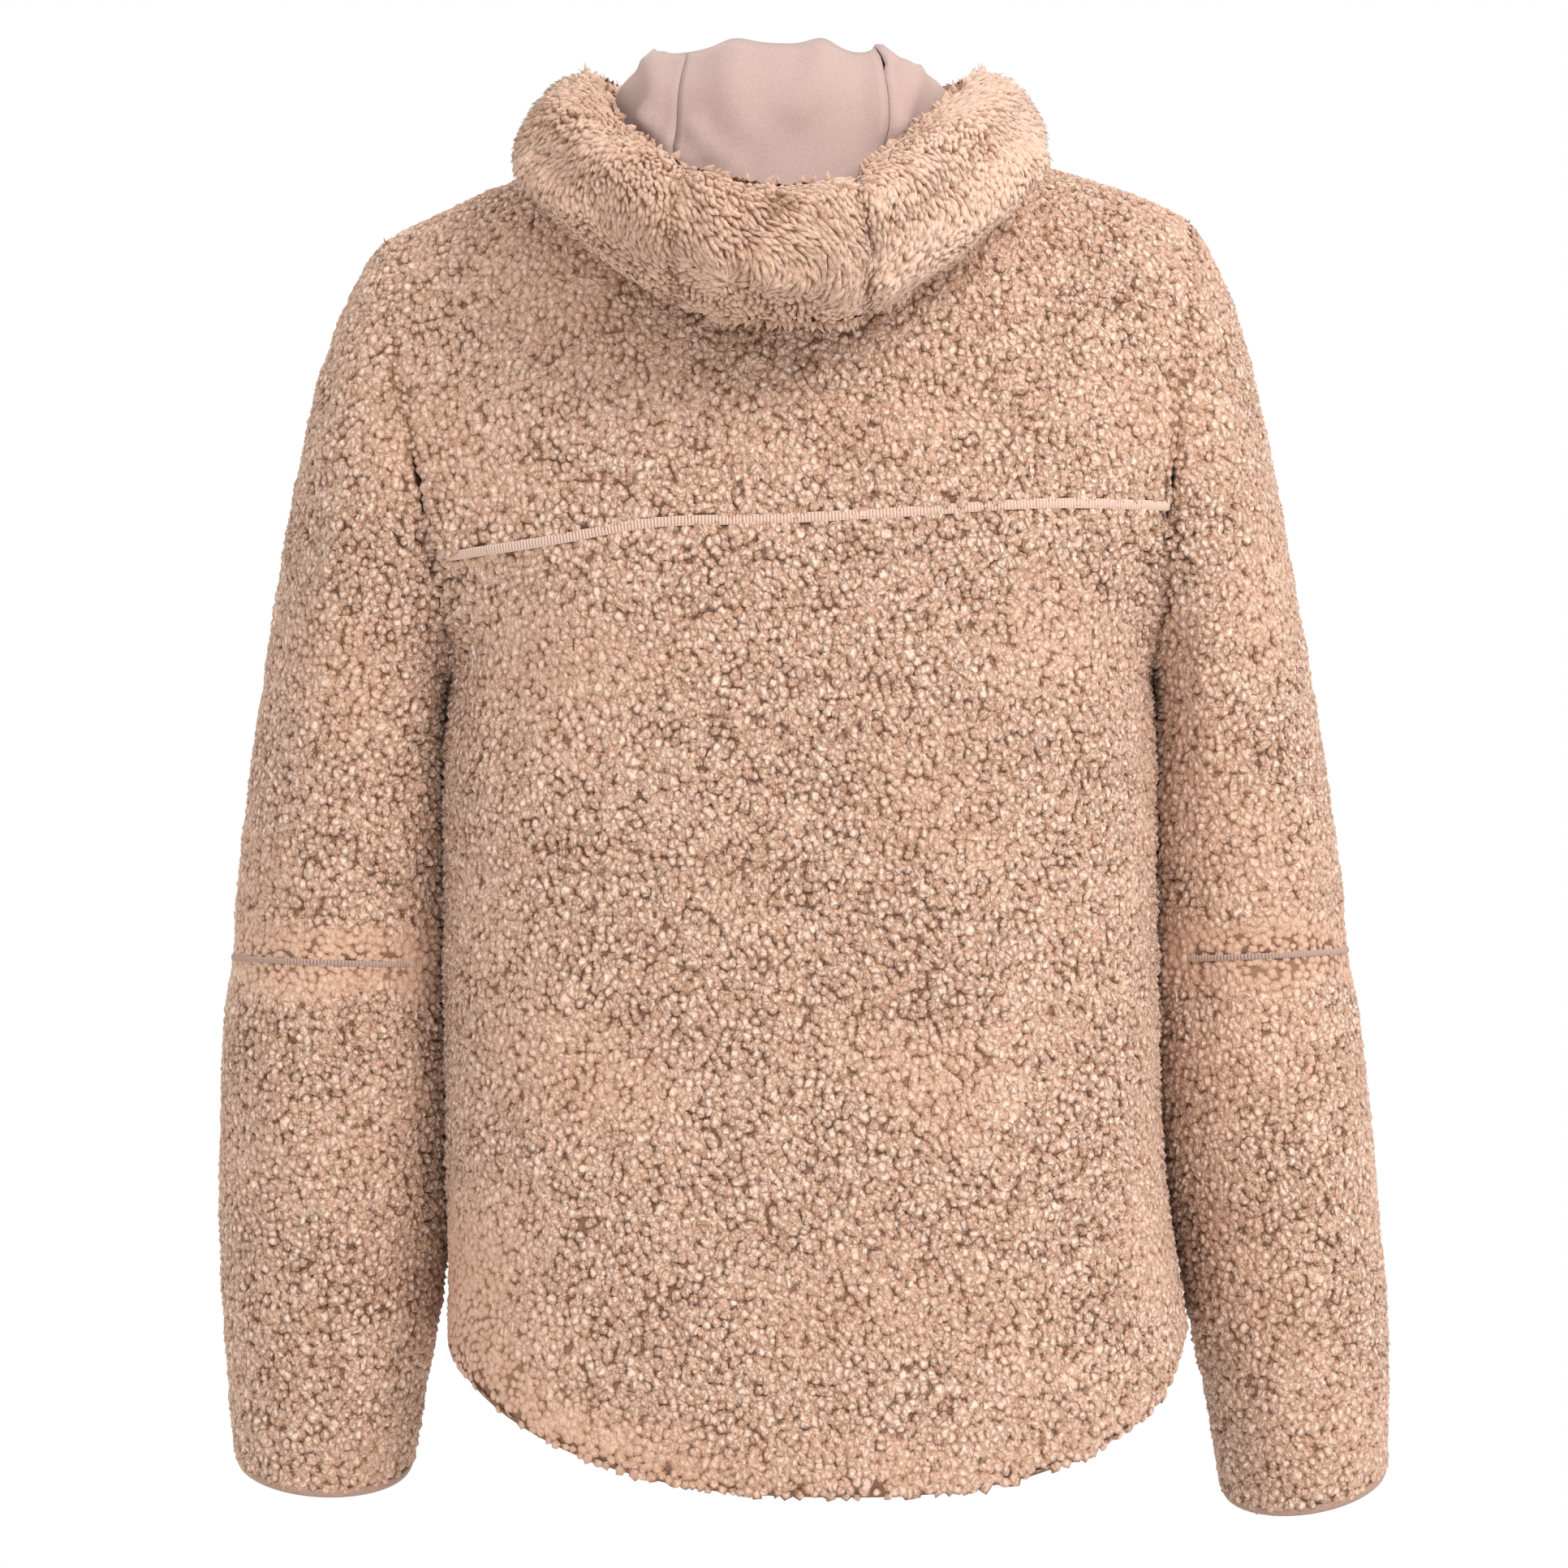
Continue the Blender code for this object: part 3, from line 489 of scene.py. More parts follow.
def creased(node, lines, way):
    """Moves the points of a panel along `way` by the height of the creases near them."""
    mesh = cloths[node].data
    points, _ = arrays(mesh)
    lift = np.zeros(len(points))
    for line, height, wide in lines:
        lift += height * MM * np.exp(-nearest_square(line, points) / (wide * MM) ** 2)
    mesh.vertices.foreach_set("co", (points + way * lift[:, None]).ravel())
    mesh.update()


crease_lines = {group: [] for group in GROUPS}
for side in ("left", "right"):
    crease_lines["hood"].append((even_steps(seams["hood_seam_" + side], 4 * MM), -2.4, 4))
for side, group, height, wide, *xy in CREASES:
    crease_lines[group].append((crease_line(xy, GROUPS[group], side), height, wide))
for height, wide, *xy in LINING_CREASES:
    crease_lines["lining"].append((crease_line(xy, LININGS), height, wide))
for group, nodes in GROUPS.items():
    for node in nodes:
        mesh = cloths[node].data
        if group == "lining":
            points, _ = arrays(mesh)
            way = np.zeros_like(points)
            for i, point in enumerate(points.tolist()):
                hits = [panel_trees[hood].find_nearest(point) for hood in HOOD_PANELS]
                near = min(hits, key=lambda hit: hit[3])
                way[i] = np.array(point) - np.array(near[0])
            way /= np.maximum(np.linalg.norm(way, axis=1), 1e-9)[:, None]
        else:
            way = np.empty(len(mesh.vertices) * 3)
            mesh.attributes["grow"].data.foreach_get("vector", way)
            way = way.reshape(-1, 3)
        creased(node, crease_lines[group], way)
print("creases:", {group: len(lines) for group, lines in crease_lines.items()})

# %% [markdown]
# ## Scatter the tufts
# The fleece has no rows, so its curls are scattered at random but never closer than a curl is wide. That
# is a Poisson distribution. Geometry Nodes has one, and it is far faster than a loop in Python.

# %% Scattered points
SPACING = {"hood": 2.7 * MM, "front": 4.05 * MM, "": 3.6 * MM}  # least distance of two tufts, by panel


def scatter_group():
    group = bpy.data.node_groups.new("scatter tufts", "GeometryNodeTree")
    group.interface.new_socket("Geometry", in_out="INPUT", socket_type="NodeSocketGeometry")
    group.interface.new_socket("Geometry", in_out="OUTPUT", socket_type="NodeSocketGeometry")
    start, end = group.nodes.new("NodeGroupInput"), group.nodes.new("NodeGroupOutput")
    where = group.nodes.new("GeometryNodeInputNamedAttribute")
    where.data_type = "BOOLEAN"
    where.inputs["Name"].default_value = "pile"
    spread = group.nodes.new("GeometryNodeDistributePointsOnFaces")
    spread.distribute_method = "POISSON"
    as_points = group.nodes.new("GeometryNodePointsToVertices")
    # The inside of the wall is left out first, or its points would crowd out those on the outside.
    outside = group.nodes.new("GeometryNodeSeparateGeometry")
    outside.domain = "FACE"
    group.links.new(start.outputs[0], outside.inputs["Geometry"])
    group.links.new(where.outputs["Attribute"], outside.inputs["Selection"])
    group.links.new(outside.outputs["Selection"], spread.inputs["Mesh"])
    group.links.new(spread.outputs["Points"], as_points.inputs["Points"])
    group.links.new(as_points.outputs[0], end.inputs[0])
    return group, spread


scatter, spread = scatter_group()


def scattered(node, spacing, seed):
    """Places on a panel's pile faces and the direction out of the cloth there."""
    spread.inputs["Distance Min"].default_value = spacing
    spread.inputs["Density Max"].default_value = 6 / spacing**2
    spread.inputs["Seed"].default_value = seed
    cloth = cloths[node]
    step = cloth.modifiers.new("scatter", "NODES")
    step.node_group = scatter
    view = bpy.context.evaluated_depsgraph_get()
    found = bpy.data.meshes.new_from_object(cloth.evaluated_get(view))
    cloth.modifiers.clear()
    places = np.empty(len(found.vertices) * 3)
    found.vertices.foreach_get("co", places)
    out = np.empty(len(places))
    found.attributes["grow"].data.foreach_get("vector", out)
    bpy.data.meshes.remove(found)
    out = out.reshape(-1, 3)
    return places.reshape(-1, 3), out / np.maximum(np.linalg.norm(out, axis=1), 1e-9)[:, None]


tufts = {}
for seed, node in enumerate(FLEECE_PANELS):
    spacing = next(step for start, step in SPACING.items() if node.startswith(start))
    tufts[node] = scattered(node, spacing, seed)
    print(node, len(tufts[node][0]), "tufts")
print("tufts:", sum(len(places) for places, _ in tufts.values()))

# %% [markdown]
# ## Comb the pile
# The curls of the body point down a little. The hood is brushed: its locks are longer and point away from
# the edge of the hood, and those on the middle strip lie askew.

# %% Lie of the pile
HOOD_TOP = np.array((-0.011, -0.015, 0.085))


def distance_to(line, places, step=3 * MM):
    """Distance of each place to a line."""
    best = np.full(len(places), 1.0)
    for spot in even_steps(line, step):
        best = np.minimum(best, ((places - spot) ** 2).sum(1))
    return np.sqrt(best)


def flattened(along, out):
    """A direction laid into the cloth, with length 1."""
    lie = along - out * (along * out).sum(1)[:, None]
    return lie / np.maximum(np.linalg.norm(lie, axis=1), 1e-9)[:, None]


def drift(places, size, seed):
    """A slow random wave over the garment, from about -1 to 1."""
    own = np.random.default_rng(seed)
    total = np.zeros(len(places))
    for _ in range(7):
        way = own.normal(size=3)
        total += np.sin(places @ (way / np.linalg.norm(way)) * (2 * math.pi / size) + own.uniform(0, 7))
    return total / 2.4


def lie_of(node, places, out):
    """Which way the pile is combed."""
    if node in HOOD_PANELS:
        lie = flattened(places - HOOD_TOP, out)
        turn = math.radians(38) if node == "hood_centre" else 0
        turn = turn + 0.4 * drift(places, 0.05, 3) + rng.normal(0, 0.22, len(places))
    else:
        lie = flattened(np.tile((0.0, 0.0, -1.0), (len(places), 1)), out)
        turn = 0.35 * drift(places, 0.09, 4) + rng.normal(0, 0.45, len(places))
    across = np.cross(out, lie)
    return lie * np.cos(turn)[:, None] + across * np.sin(turn)[:, None]


# %% [markdown]
# ## Where the pile lies flat
# Near a seam the pile is caught by the thread. On both sides of the elbow seams and at the left corner of
# the hem it is matted, with no curls to tell apart. Between the sleeves and the body it is made higher, so
# that the pile of both closes most of the gap, as in the photo.

# %% Fluff and mat
PRESSED = {  # how far the pile is pressed at a seam, mm
    "yoke": 6, "elbow_left": 8, "elbow_right": 8, "hood_seam_left": 7, "hood_seam_right": 7,
    "armhole_left": 7, "armhole_right": 7, "armhole_front_left": 6, "armhole_front_right": 6,
}
# No tuft stands nearer than this to a seam, mm.
BARE = {"yoke": 3.3, "elbow_left": 2.6, "elbow_right": 2.6, "hood_seam_left": 1.0, "hood_seam_right": 1.0}
BANDED = ("yoke", "elbow_left", "elbow_right")  # these seams lie flat under a band of thread
LEAST_BANDED, LEAST_PLAIN = 0.72, 0.25  # how high the pile is right at a seam, as a share
HEM_CHANNEL = 32 * MM  # the hem is stitched this far above its edge
SIDES = 72  # the hem is measured at this many bearings round the body


def bearing(places):
    """Bearing round the body, as a share of a turn."""
    return (np.arctan2(places[:, 1], places[:, 0]) / (2 * math.pi)) % 1


hem_places = np.concatenate([tufts["back_panel"][0], tufts["front_panel"][0]])
hem_side = (bearing(hem_places) * SIDES).astype(int)
hem_low = np.array([hem_places[hem_side == k, 2].min() for k in range(SIDES)])


def above_hem(places):
    """Height of a place above the edge of the hem."""
    at = bearing(places) * SIDES - 0.5
    return places[:, 2] - np.interp(at, np.arange(-1, SIDES + 1), np.r_[hem_low[-1], hem_low, hem_low[0]])


sleeve_trees = [panel_trees[node] for node in SLEEVE_PANELS]
body_trees = [panel_trees[node] for node in BODY_PANELS]
VALLEY = 24 * MM
VALLEY_LIFT = 1.9  # how much higher the pile stands where a sleeve and the body touch


def in_valley(node, places):
    """1 where a sleeve and the body touch, 0 where they are far apart."""
    if node in HOOD_PANELS:
        return np.zeros(len(places))
    trees = body_trees if node in SLEEVE_PANELS else sleeve_trees
    low = places[:, 2] < -0.17
    near = np.full(len(places), VALLEY)
    for i in np.flatnonzero(low):
        for tree in trees:
            hit = tree.find_nearest(places[i].tolist(), near[i])
            if hit[0] is not None:
                near[i] = hit[3]
    return 1 - near / VALLEY


def matted(node, places):
    """1 where the pile is matted, 0 where it curls."""
    mat = np.clip(0.25 * drift(places, 0.11, 7) + 0.12, 0, 0.45)
    if node in HOOD_PANELS:
        return mat * 0.5
    x, y, z = places.T
    wave = 4 * MM * drift(places, 0.05, 8)
    if node in SLEEVE_PANELS:
        seam = seams["elbow_left" if node.endswith("left") else "elbow_right"]
        rise = z - np.interp(x, *seam[np.argsort(seam[:, 0])][:, [0, 2]].T) + wave
        # Matted from about 60 pixels above the seam to 50 below it.
        mat = np.maximum(mat, np.clip(1.5 - np.abs(rise - 2 * MM) / (17 * MM), 0, 1))
    if node in ("back_panel", "front_panel"):
        # The left corner of the hem, then the strip under the hem's stitches, which fades to the right.
        left = np.clip((-0.128 - x + 2 * wave) / 0.03, 0, 1) * np.clip((-0.50 - z) / 0.06, 0, 1)
        hem = np.clip(1.3 - above_hem(places) / HEM_CHANNEL, 0, 1) * np.clip((0.02 - x) / 0.12, 0.35, 1)
        mat = np.maximum(mat, np.maximum(left, hem))
    if node == "back_panel":
        under_seam = np.clip(1 - distance_to(seams["yoke"], places) / (14 * MM), 0, 1)
        mat = np.maximum(mat, 0.6 * under_seam * np.clip((-0.04 - x) / 0.05, 0.3, 1))
    return mat


# The dimple is lowered, and darkened with painted shade.
DIMPLE = seen_at(957, 246, HOOD_PANELS)  # a dark dimple where the hood is sewn down behind


def dimpled(places):
    """1 in the dimple of the hood, 0 away from it."""
    return np.clip(1.25 - np.linalg.norm(places - DIMPLE, axis=1) / (8 * MM), 0, 1)


def fluff(node, places, mat):
    """How high the pile stands: 1 in the open, less near a seam, more where a sleeve and the body touch."""
    high = (1 - 0.6 * mat) * (1 + 0.1 * drift(places, 0.03, 9))
    for name, reach in PRESSED.items():
        near = distance_to(seams[name], places) / (reach * MM)
        least = LEAST_BANDED if name in BANDED else LEAST_PLAIN
        high *= least + (1 - least) * np.clip(near, 0, 1) ** 2
    if node in ("back_panel", "front_panel"):
        high *= 0.55 + 0.45 * np.clip(np.abs(above_hem(places) - HEM_CHANNEL) / (4 * MM), 0, 1)
        high *= 0.45 + 0.55 * np.clip(above_hem(places) / (7 * MM), 0, 1)
    return high * (1 - 0.8 * dimpled(places)) + VALLEY_LIFT * in_valley(node, places)


# %% [markdown]
# ## One tuft
# A curl of fleece is a low dome, wider than the space between two of them, so that the domes grow into
# each other and leave only a thin dark line. A ring of five points lies in the cloth, a narrower one
# above it, and a tip on top. That is fifteen triangles, so all the tufts stay under a million. A lock of
# the hood has the same points, drawn out into a flame.

# %% Tufts as joined meshes
RING = 5
# In mm: width, length and height of a tuft, and how far its tip leans on. As shares: the size of its upper
# ring, the height of that ring and of the lower one, and how light the lower one is, which is painted shade
# at the root.
BODY_TUFT = {
    "width": 8.4, "length": 9.8, "height": 3.0, "reach": 1.2,
    "upper": 0.54, "rise": 0.7, "root": -0.15, "dark": 0.05,
}
HOOD_TUFT = {
    "width": 4.3, "length": 8.6, "height": 3.9, "reach": 6.4,
    "upper": 0.58, "rise": 0.62, "root": -0.3, "dark": 0.4,
}
PIECE_LIMIT = 190_000  # triangles in one mesh
MAT_TONE = 0.54  # matted pile is all of one tone
# Painted light: the hood is made paler towards its right, where the key light falls.
PAINTED_LIGHT_RIGHT = 0.2  # how much paler the hood gets towards its right


def seam_shade(places):
    """A mask for painted shade in the grooves of seams: 1 on a seam that has no band over it, 0 from 5 mm
    away.
    """
    near = np.full(len(places), 1.0)
    for name in PRESSED:
        if name not in BANDED:
            near = np.minimum(near, distance_to(seams[name], places))
    return np.clip(1 - near / (5 * MM), 0, 1)


def tuft_points(places, out, lie, high, mat, shape):
    """The eleven points of each tuft, and how light each one is, which holds painted shade and painted
    light.
    """
    count = len(places)
    side = np.cross(out, lie)
    size = rng.lognormal(0, 0.13, count)
    low = np.clip(1.7 * high, 0.55, 1)  # pressed tufts are smaller too
    width = shape["width"] * MM * size * low**0.5 / 2
    length = shape["length"] * MM * size * low / 2
    height = shape["height"] * MM * high * rng.uniform(0.82, 1.15, count)
    reach = shape["reach"] * MM * low * rng.uniform(0.5, 1.4, count)
    start = rng.uniform(0, 2 * math.pi, count)
    points = np.empty((count, 2 * RING + 1, 3))
    for ring, (wide, rise, on) in enumerate(((1, shape["root"], 0), (shape["upper"], shape["rise"], 0.4))):
        for k in range(RING):
            angle = start + 2 * math.pi * (k + 0.5 * ring) / RING
            wobble = rng.uniform(0.72, 1.28, count)
            across = np.cos(angle) * width * wide * wobble
            forward = np.sin(angle) * length * wide * wobble + reach * on
            up = height * rise * rng.uniform(0.78, 1.2, count)
            points[:, ring * RING + k] = (
                places + side * across[:, None] + lie * forward[:, None] + out * up[:, None]
            )
    points[:, -1] = places + lie * reach[:, None] + out * height[:, None]
    # Painted shade and painted light: the lower ring is dark and the tip light, for the light lost between
    # the curls.
    light = np.concatenate([np.full(RING, shape["dark"]), np.full(RING, 0.8), [1.0]])
    tone = light[None] + rng.normal(0, 0.06, (count, 1))
    tone = tone + (MAT_TONE - tone) * (0.6 * mat)[:, None]
    # Painted light: the right half of the hood is made paler, where the key light falls.
    if shape is HOOD_TUFT:  # the photo shows the right half of the hood paler
        tone += PAINTED_LIGHT_RIGHT * np.clip(places[:, :1] / (70 * MM), -0.25, 1)
    # Painted shade: darker in the dimple of the hood and in the grooves of seams that have no band.
    tone -= (0.8 * dimpled(places) + 0.18 * seam_shade(places))[:, None]
    return points, np.clip(tone, 0, 1.2), np.repeat(mat[:, None], points.shape[1], 1)


def tuft_faces(count):
    one = []
    for k in range(RING):
        d = (k + 1) % RING
        one += [(k, d, RING + k), (d, RING + d, RING + k), (RING + k, RING + d, 2 * RING)]
    one = np.array(one)
    return (one[None] + (np.arange(count) * (2 * RING + 1))[:, None, None]).reshape(-1, 3)


def mesh_from(name, points, faces, tone, material):
    mesh = bpy.data.meshes.new(name)
    mesh.vertices.add(len(points))
    mesh.vertices.foreach_set("co", points.ravel())
    mesh.loops.add(len(faces) * 3)
    mesh.loops.foreach_set("vertex_index", faces.ravel().astype(np.int32))
    mesh.polygons.add(len(faces))
    mesh.polygons.foreach_set("loop_start", np.arange(0, len(faces) * 3, 3, dtype=np.int32))
    mesh.update(calc_edges=True)
    mesh.shade_smooth()
    set_attribute(mesh, "tone", tone)
    mesh.materials.append(material)
    made = bpy.data.objects.new(name, mesh)
    scene.collection.objects.link(made)
    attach(made, "root")
    return made


# %% [markdown]
# ## Colours of the fleece
# The root of the pile is a dark brown and its tips are a pale peach: this is painted shade and painted
# light, for the light that is lost between the curls. On the body the edges of the curls are painted dark
# too, as painted shade. The tone of each point is kept in the mesh, and noise adds a slow drift over the
# whole garment.
# Sheen gives the soft bright rim that fine hair has.

# %% Fleece materials


def nodes_of(name, roughness, sheen=0.0):
    made = bpy.data.materials.new(name)
    made.use_nodes = True
    tree = made.node_tree
    shader = tree.nodes["Principled BSDF"]
    shader.inputs["Roughness"].default_value = roughness
    shader.inputs["Specular IOR Level"].default_value = 0.15
    shader.inputs["Sheen Weight"].default_value = sheen
    shader.inputs["Sheen Roughness"].default_value = 0.5
    return made, tree, shader


def ramp_node(tree, stops):
    ramp = tree.nodes.new("ShaderNodeValToRGB")
    while len(ramp.color_ramp.elements) < len(stops):
        ramp.color_ramp.elements.new(0.5)
    for element, (at, colour) in zip(ramp.color_ramp.elements, stops):
        element.position = at
        element.color = (*colour, 1)
    return ramp


def fleece_material(name, stops, average, curls):
    """Pile colour by its tone, which holds painted shade and painted light, with a drift over the garment,
    fine hair and, on the body, curls with painted shade along their edges.
    """
    made, tree, shader = nodes_of(name, 0.95, sheen=0.25)

    def node(kind, **values):
        made_node = tree.nodes.new("ShaderNode" + kind)
        for key, value in values.items():
            made_node.inputs[key.replace("_", " ")].default_value = value
        return made_node

    def link(source, target):
        tree.links.new(source, target)

    def summed(a, b, operation="ADD"):
        made_node = node("Math")
        made_node.operation = operation
        link(a, made_node.inputs[0])
        link(b, made_node.inputs[1])
        return made_node.outputs[0]

    tone = node("Attribute")
    tone.attribute_name = "tone"
    mat = node("Attribute")
    mat.attribute_name = "mat"
    place = node("TexCoord").outputs["Object"]
    slow = node("TexNoise", Scale=22, Detail=3)
    fine = node("TexNoise", Scale=900 if curls else 700, Detail=3, Roughness=0.65)
    slow_part = node("MapRange", To_Min=-0.14, To_Max=0.14)
    deep = 1.0 if curls else 1.8
    fine_part = node("MapRange", From_Min=0.3, From_Max=0.7, To_Min=-0.16 * deep, To_Max=0.14 * deep)
    link(place, slow.inputs["Vector"])
    link(place, fine.inputs["Vector"])
    link(slow.outputs["Fac"], slow_part.inputs["Value"])
    link(fine.outputs["Fac"], fine_part.inputs["Value"])
    total = summed(summed(tone.outputs["Fac"], slow_part.outputs["Result"]), fine_part.outputs["Result"])
    bump = node("Bump", Strength=0.8, Distance=0.5 * MM * deep)
    link(fine.outputs["Fac"], bump.inputs["Height"])
    if curls:
        # Cells a little taller than wide, with wavy edges. Their edges are painted dark, as painted shade
        # in the lines between curls.
        wave = node("TexNoise", Scale=260, Detail=1)
        warp = node("VectorMath")
        warp.operation = "MULTIPLY_ADD"
        warp.inputs[1].default_value = (0.004, 0.004, 0.004)
        link(place, wave.inputs["Vector"])
        link(wave.outputs["Color"], warp.inputs[0])
        link(place, warp.inputs[2])
        tall = node("VectorMath")
        tall.operation = "MULTIPLY"
        tall.inputs[1].default_value = (1, 1, 0.78)
        link(warp.outputs[0], tall.inputs[0])
        cells = node("TexVoronoi", Scale=235)
        cells.feature = "DISTANCE_TO_EDGE"
        link(tall.outputs[0], cells.inputs["Vector"])
        # Painted shade: darker towards the edges of the cells.
        edge = node("MapRange", From_Min=0.0, From_Max=0.14, To_Min=-0.6, To_Max=0.08)
        link(cells.outputs["Distance"], edge.inputs["Value"])
        free = node("MapRange", To_Min=1.0, To_Max=0.25)
        link(mat.outputs["Fac"], free.inputs["Value"])
        total = summed(total, summed(edge.outputs["Result"], free.outputs["Result"], "MULTIPLY"))
        dome = node("MapRange", From_Min=0.0, From_Max=0.35)
        dome.interpolation_type = "SMOOTHSTEP"
        link(cells.outputs["Distance"], dome.inputs["Value"])
        curl = node("Bump", Strength=1.0, Distance=1.6 * MM)
        link(summed(dome.outputs["Result"], free.outputs["Result"], "MULTIPLY"), curl.inputs["Height"])
        link(bump.outputs["Normal"], curl.inputs["Normal"])
        bump = curl
    ramp = ramp_node(tree, stops)
    link(total, ramp.inputs["Fac"])
    link(ramp.outputs["Color"], shader.inputs["Base Color"])
    link(bump.outputs["Normal"], shader.inputs["Normal"])
    shader.inputs["Base Color"].default_value = (*average, 1)
    return made


# In both fleeces the darkest stops are painted shade, reached at the roots, in seams, in the dimple and on
# the body's curl edges, and the palest are painted light on the tips.
body_fleece = fleece_material(
    "fleece",
    (
        (0, (0.20, 0.085, 0.04)),
        (0.4, (0.52, 0.305, 0.20)),
        (0.8, (0.76, 0.495, 0.365)),
        (1, (0.90, 0.655, 0.51)),
    ),
    (0.61, 0.38, 0.28),
    curls=True,
)
hood_fleece = fleece_material(
    "brushed fleece",
    (
        (0, (0.24, 0.12, 0.065)),
        (0.4, (0.50, 0.30, 0.20)),
        (0.75, (0.66, 0.435, 0.315)),
        (1, (0.78, 0.56, 0.435)),
    ),
    (0.66, 0.43, 0.31),
    curls=False,
)


def ground_material():
    """The cloth itself: painted shade under the pile, where it shows between the tufts, and the knit's own
    colour on the inside.
    """
    made, tree, shader = nodes_of("fleece ground", 1.0)
    under = tree.nodes.new("ShaderNodeAttribute")
    under.attribute_name = "pile"
    mix = tree.nodes.new("ShaderNodeMix")
    mix.data_type = "RGBA"
    # Painted shade: the cloth under the pile (B) is darker than the knit on the inside (A).
    mix.inputs["A"].default_value = (0.46, 0.30, 0.22, 1)
    mix.inputs["B"].default_value = (0.30, 0.17, 0.11, 1)
    tree.links.new(under.outputs["Fac"], mix.inputs["Factor"])
    tree.links.new(mix.outputs["Result"], shader.inputs["Base Color"])
    return made


ground = ground_material()
for node in FLEECE_PANELS:
    cloths[node].data.materials.clear()
    cloths[node].data.materials.append(ground)

# %% [markdown]
# ## Grow the pile
# Each panel's tufts are one mesh. A large panel is shared out between two, from left to right, so that no
# mesh gets too heavy.

# %% The pile of each panel
piles = {}
for node, (places, out) in tufts.items():
    shape = HOOD_TUFT if node in HOOD_PANELS else BODY_TUFT
    clear = np.ones(len(places), bool)
    for name, reach in BARE.items():
        clear &= distance_to(seams[name], places) > reach * MM
    places, out = places[clear], out[clear]
    lie, mat = lie_of(node, places, out), matted(node, places)
    points, tone, mats = tuft_points(places, out, lie, fluff(node, places, mat), mat, shape)
    parts = max(1, math.ceil(len(places) * 3 * RING / PIECE_LIMIT))
    order = np.argsort(places[:, 0])
    piles[node] = []
    for k, chosen in enumerate(np.array_split(order, parts)):
        name = node + "_pile" + ("" if parts == 1 else "_" + "abcd"[k])
        faces = tuft_faces(len(chosen))
        material = hood_fleece if node in HOOD_PANELS else body_fleece
        made = mesh_from(name, points[chosen].reshape(-1, 3), faces, tone[chosen].ravel(), material)
        set_attribute(made.data, "mat", mats[chosen].ravel())
        piles[node].append(made)
print("triangles of pile:", sum(len(ob.data.polygons) for made in piles.values() for ob in made))

# %% [markdown]
# ## Coverstitching
# The seams of the yoke and the elbows are covered by a flat band of thread, whose crossing loops look like
# the rungs of a ladder. Two rows of stitches run down each seam of the hood. Each stitch is a small block
# with a narrower top. They lie on the pressed pile beside the seam. The row that holds the hem isn't made.

# %% Threads
THREADS = {
    "pale": (0.72, 0.52, 0.42),
    "under": (0.58, 0.40, 0.31),
    "taupe": (0.36, 0.24, 0.19),
    "band": (0.46, 0.32, 0.26),
}
threads = {name: plain_material(name + " thread", colour, 0.8) for name, colour in THREADS.items()}


def outwards_at(line, nodes):
    """The direction out of the cloth along a line, from the tufts around it."""
    places = np.concatenate([tufts[node][0] for node in nodes])
    out = np.concatenate([tufts[node][1] for node in nodes])
    found = []
    for spot in line:
        near = np.argsort(((places - spot) ** 2).sum(1))[:10]
        found.append(out[near].mean(0))
    found = np.array(found)
    for _ in range(3):
        found[1:-1] = (found[:-2] + found[1:-1] + found[2:]) / 3
    return found / np.linalg.norm(found, axis=1)[:, None]


def seam_frame(line, nodes, step):
    """Even steps along a line with the directions along it, out of the cloth and across."""
    line = even_steps(line, step)
    ahead = np.gradient(line, axis=0)
    ahead /= np.linalg.norm(ahead, axis=1)[:, None]
    out = outwards_at(line, nodes)
    across = np.cross(out, ahead)
    across /= np.linalg.norm(across, axis=1)[:, None]
    return line, ahead, out, across


def blocks(name, centre, ahead, across, out, size, thread):
    """One small block with a narrower top at each centre. size is along, across and up, in mm."""
    long, wide, high = (s * MM for s in size)
    corners = []
    for level, share in ((0, 1), (high, 0.7)):
        for a, b in ((-1, -1), (1, -1), (1, 1), (-1, 1)):
            along, beside = ahead * (a * long / 2 * share), across * (b * wide / 2 * share)
            corners.append(centre + along + beside + out * level)
    points = np.stack(corners, 1)
    block = [(4, 5, 6), (4, 6, 7)]
    for k in range(4):
        d = (k + 1) % 4
        block += [(k, d, 4 + d), (k, 4 + d, 4 + k)]
    faces = (np.array(block)[None] + (np.arange(len(centre)) * 8)[:, None, None]).reshape(-1, 3)
    made = mesh_from(name, points.reshape(-1, 3), faces, np.ones(len(centre) * 8), threads[thread])
    return made


def ribbon(name, centre, across, out, wide, thread):
    """A flat strip under the stitches."""
    left, right = centre - across * wide * MM / 2, centre + across * wide * MM / 2
    rows = np.stack([left, centre + out * 0.3 * MM, right], 1)
    faces = []
    for i in range(len(centre) - 1):
        for k in (0, 1):
            a, b, c, d = i * 3 + k, i * 3 + k + 1, i * 3 + k + 4, i * 3 + k + 3
            faces += [(a, b, c), (a, c, d)]
    made = mesh_from(name, rows.reshape(-1, 3), np.array(faces), np.ones(len(centre) * 3), threads[thread])
    return made


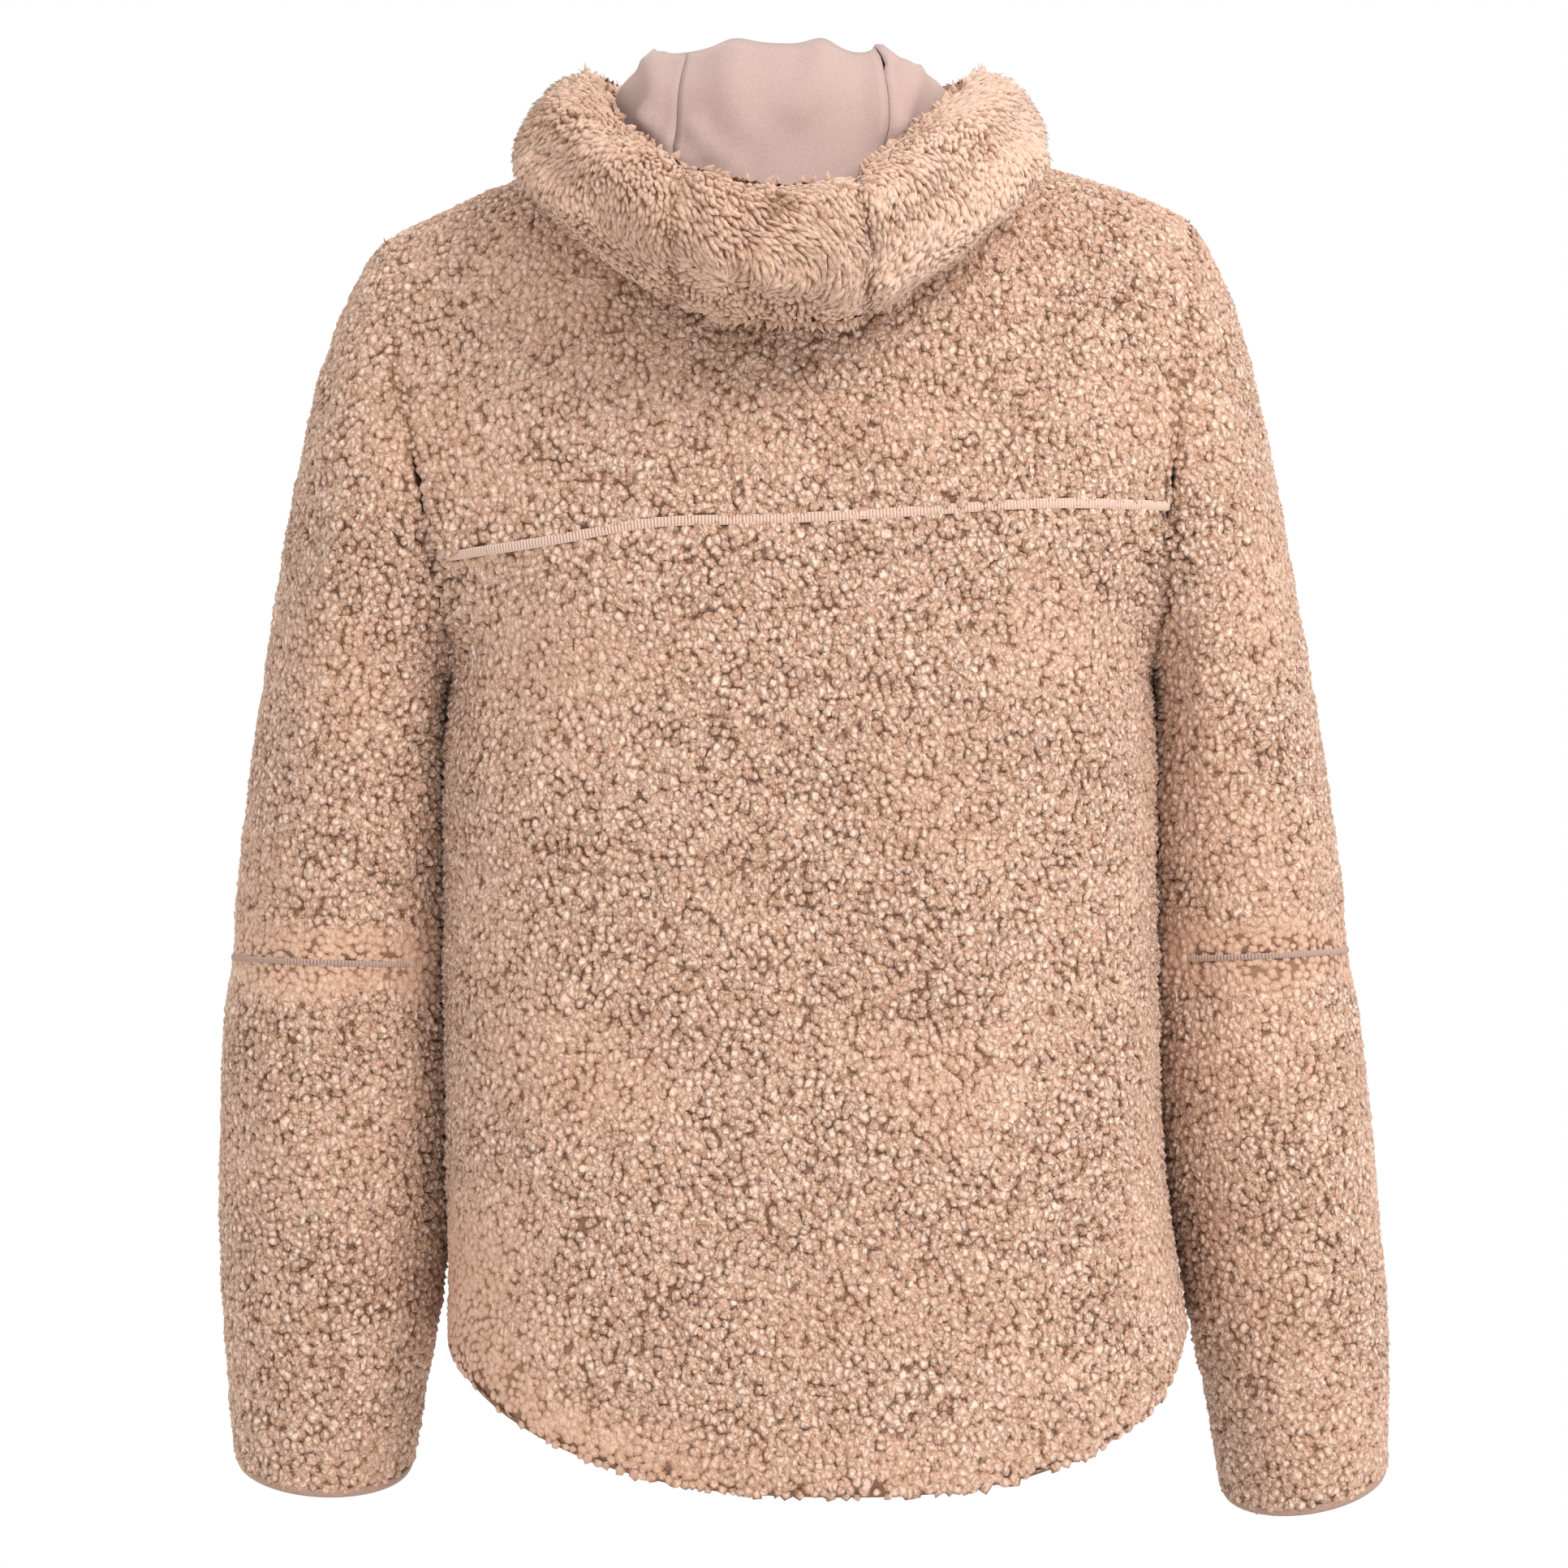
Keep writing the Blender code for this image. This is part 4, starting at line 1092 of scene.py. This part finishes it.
# seam, panels, thread, step, width of the band and how far it lies below the tips of the pile, mm
BANDS = (
    ("yoke", ("yoke_back", "back_panel"), "pale", 1.75, 5.2, 1.2),
    ("elbow_left", ("sleeve_upper_left", "sleeve_lower_left"), "band", 1.9, 3.2, 1.9),
    ("elbow_right", ("sleeve_upper_right", "sleeve_lower_right"), "band", 1.9, 3.2, 1.9),
)
HOOD_LOW = 2.6  # the same for the rows on the hood
HOOD_STEP = 3.1  # from stitch to stitch on the hood, mm
HOOD_ROW = 3  # how far each row lies from the seam of the hood, mm
HOOD_STITCH = (2.3, 1.0, 0.8)  # along, across and up, mm
RUNG = (1.15, 0.75)  # a rung of a band along the seam and up, mm
stitches = []
for name, nodes, thread, step, wide, low in BANDS:
    line, ahead, out, across = seam_frame(seams[name], nodes, step * MM)
    centre = line - out * low * MM
    under = "under" if thread == "pale" else "taupe"
    stitches.append(ribbon(name + "_band", centre, across, out, wide, under))
    stitches.append(blocks(name + "_rungs", centre, ahead, across, out, (RUNG[0], wide, RUNG[1]), thread))
for side in ("left", "right"):
    nodes = ("hood_" + side, "hood_centre")
    line, ahead, out, across = seam_frame(seams["hood_seam_" + side], nodes, HOOD_STEP * MM)
    for beside in (-HOOD_ROW, HOOD_ROW):
        centre = line - out * HOOD_LOW * MM + across * beside * MM
        name = f"hood_stitches_{side}_{'ab'[beside > 0]}"
        stitches.append(blocks(name, centre, ahead, across, out, HOOD_STITCH, "taupe"))
print("triangles of thread:", sum(len(made.data.polygons) for made in stitches))

# %% [markdown]
# ## Jersey
# The lining and the cuff bindings are a smooth pinkish taupe jersey. Its stitches are far too fine to
# model, so a fine noise stands for them, as a slight bump and a slight change of colour.

# %% Jersey material


def jersey_material(name, colour, fold_colour):
    made, tree, shader = nodes_of(name, 0.9, sheen=0.2)
    place = tree.nodes.new("ShaderNodeTexCoord")
    mottle = tree.nodes.new("ShaderNodeTexNoise")
    mottle.inputs["Scale"].default_value = 1500
    ramp = ramp_node(tree, ((0.35, fold_colour), (0.6, colour)))
    tree.links.new(place.outputs["Object"], mottle.inputs["Vector"])
    tree.links.new(mottle.outputs["Fac"], ramp.inputs["Fac"])
    tree.links.new(ramp.outputs["Color"], shader.inputs["Base Color"])
    shader.inputs["Base Color"].default_value = (*colour, 1)
    bump = tree.nodes.new("ShaderNodeBump")
    bump.inputs["Strength"].default_value = 0.25
    bump.inputs["Distance"].default_value = 0.3 * MM
    tree.links.new(mottle.outputs["Fac"], bump.inputs["Height"])
    tree.links.new(bump.outputs["Normal"], shader.inputs["Normal"])
    return made


lining_jersey = jersey_material("lining jersey", (0.525, 0.375, 0.335), (0.455, 0.315, 0.275))
binding_jersey = jersey_material("binding jersey", (0.45, 0.29, 0.23), (0.33, 0.2, 0.15))
for node in LININGS + BINDINGS:
    cloths[node].data.materials.clear()
    cloths[node].data.materials.append(lining_jersey if node in LININGS else binding_jersey)

# %% [markdown]
# ## The cut
# Each panel is listed with the size that it has when it is cut out and laid flat. These sizes are
# estimates, since no photo shows the flat pieces. What the built panels show is 0.8 to 1.1 times as much.

# %% Sheets
# The flat cut of each panel: width across, length down, and the share of that rectangle that is cloth.
CUT = {
    "yoke_back": (0.47, 0.26, 0.85),
    "back_panel": (0.52, 0.52, 0.93),
    "front_panel": (0.60, 0.76, 0.85),
    "sleeve_upper_left": (0.46, 0.36, 0.78),
    "sleeve_upper_right": (0.45, 0.36, 0.78),
    "sleeve_lower_left": (0.41, 0.285, 0.93),
    "sleeve_lower_right": (0.40, 0.285, 0.93),
    "hood_left": (0.21, 0.33, 0.75),
    "hood_centre": (0.13, 0.33, 0.75),
    "hood_right": (0.21, 0.33, 0.75),
    "lining_left": (0.20, 0.30, 0.75),
    "lining_centre": (0.12, 0.30, 0.75),
    "lining_right": (0.20, 0.30, 0.75),
    "cuff_binding_left": (0.29, 0.010, 0.90),
    "cuff_binding_right": (0.29, 0.010, 0.90),
}
for node, (wide, long, share) in CUT.items():
    cloth = cloths[node]
    _, _, areas = face_facts(cloth.data)
    shown = round(float(areas.sum()) / 2, 4)
    print(node, "half its surface is", shown, "m2, cut", round(wide * long * share, 4))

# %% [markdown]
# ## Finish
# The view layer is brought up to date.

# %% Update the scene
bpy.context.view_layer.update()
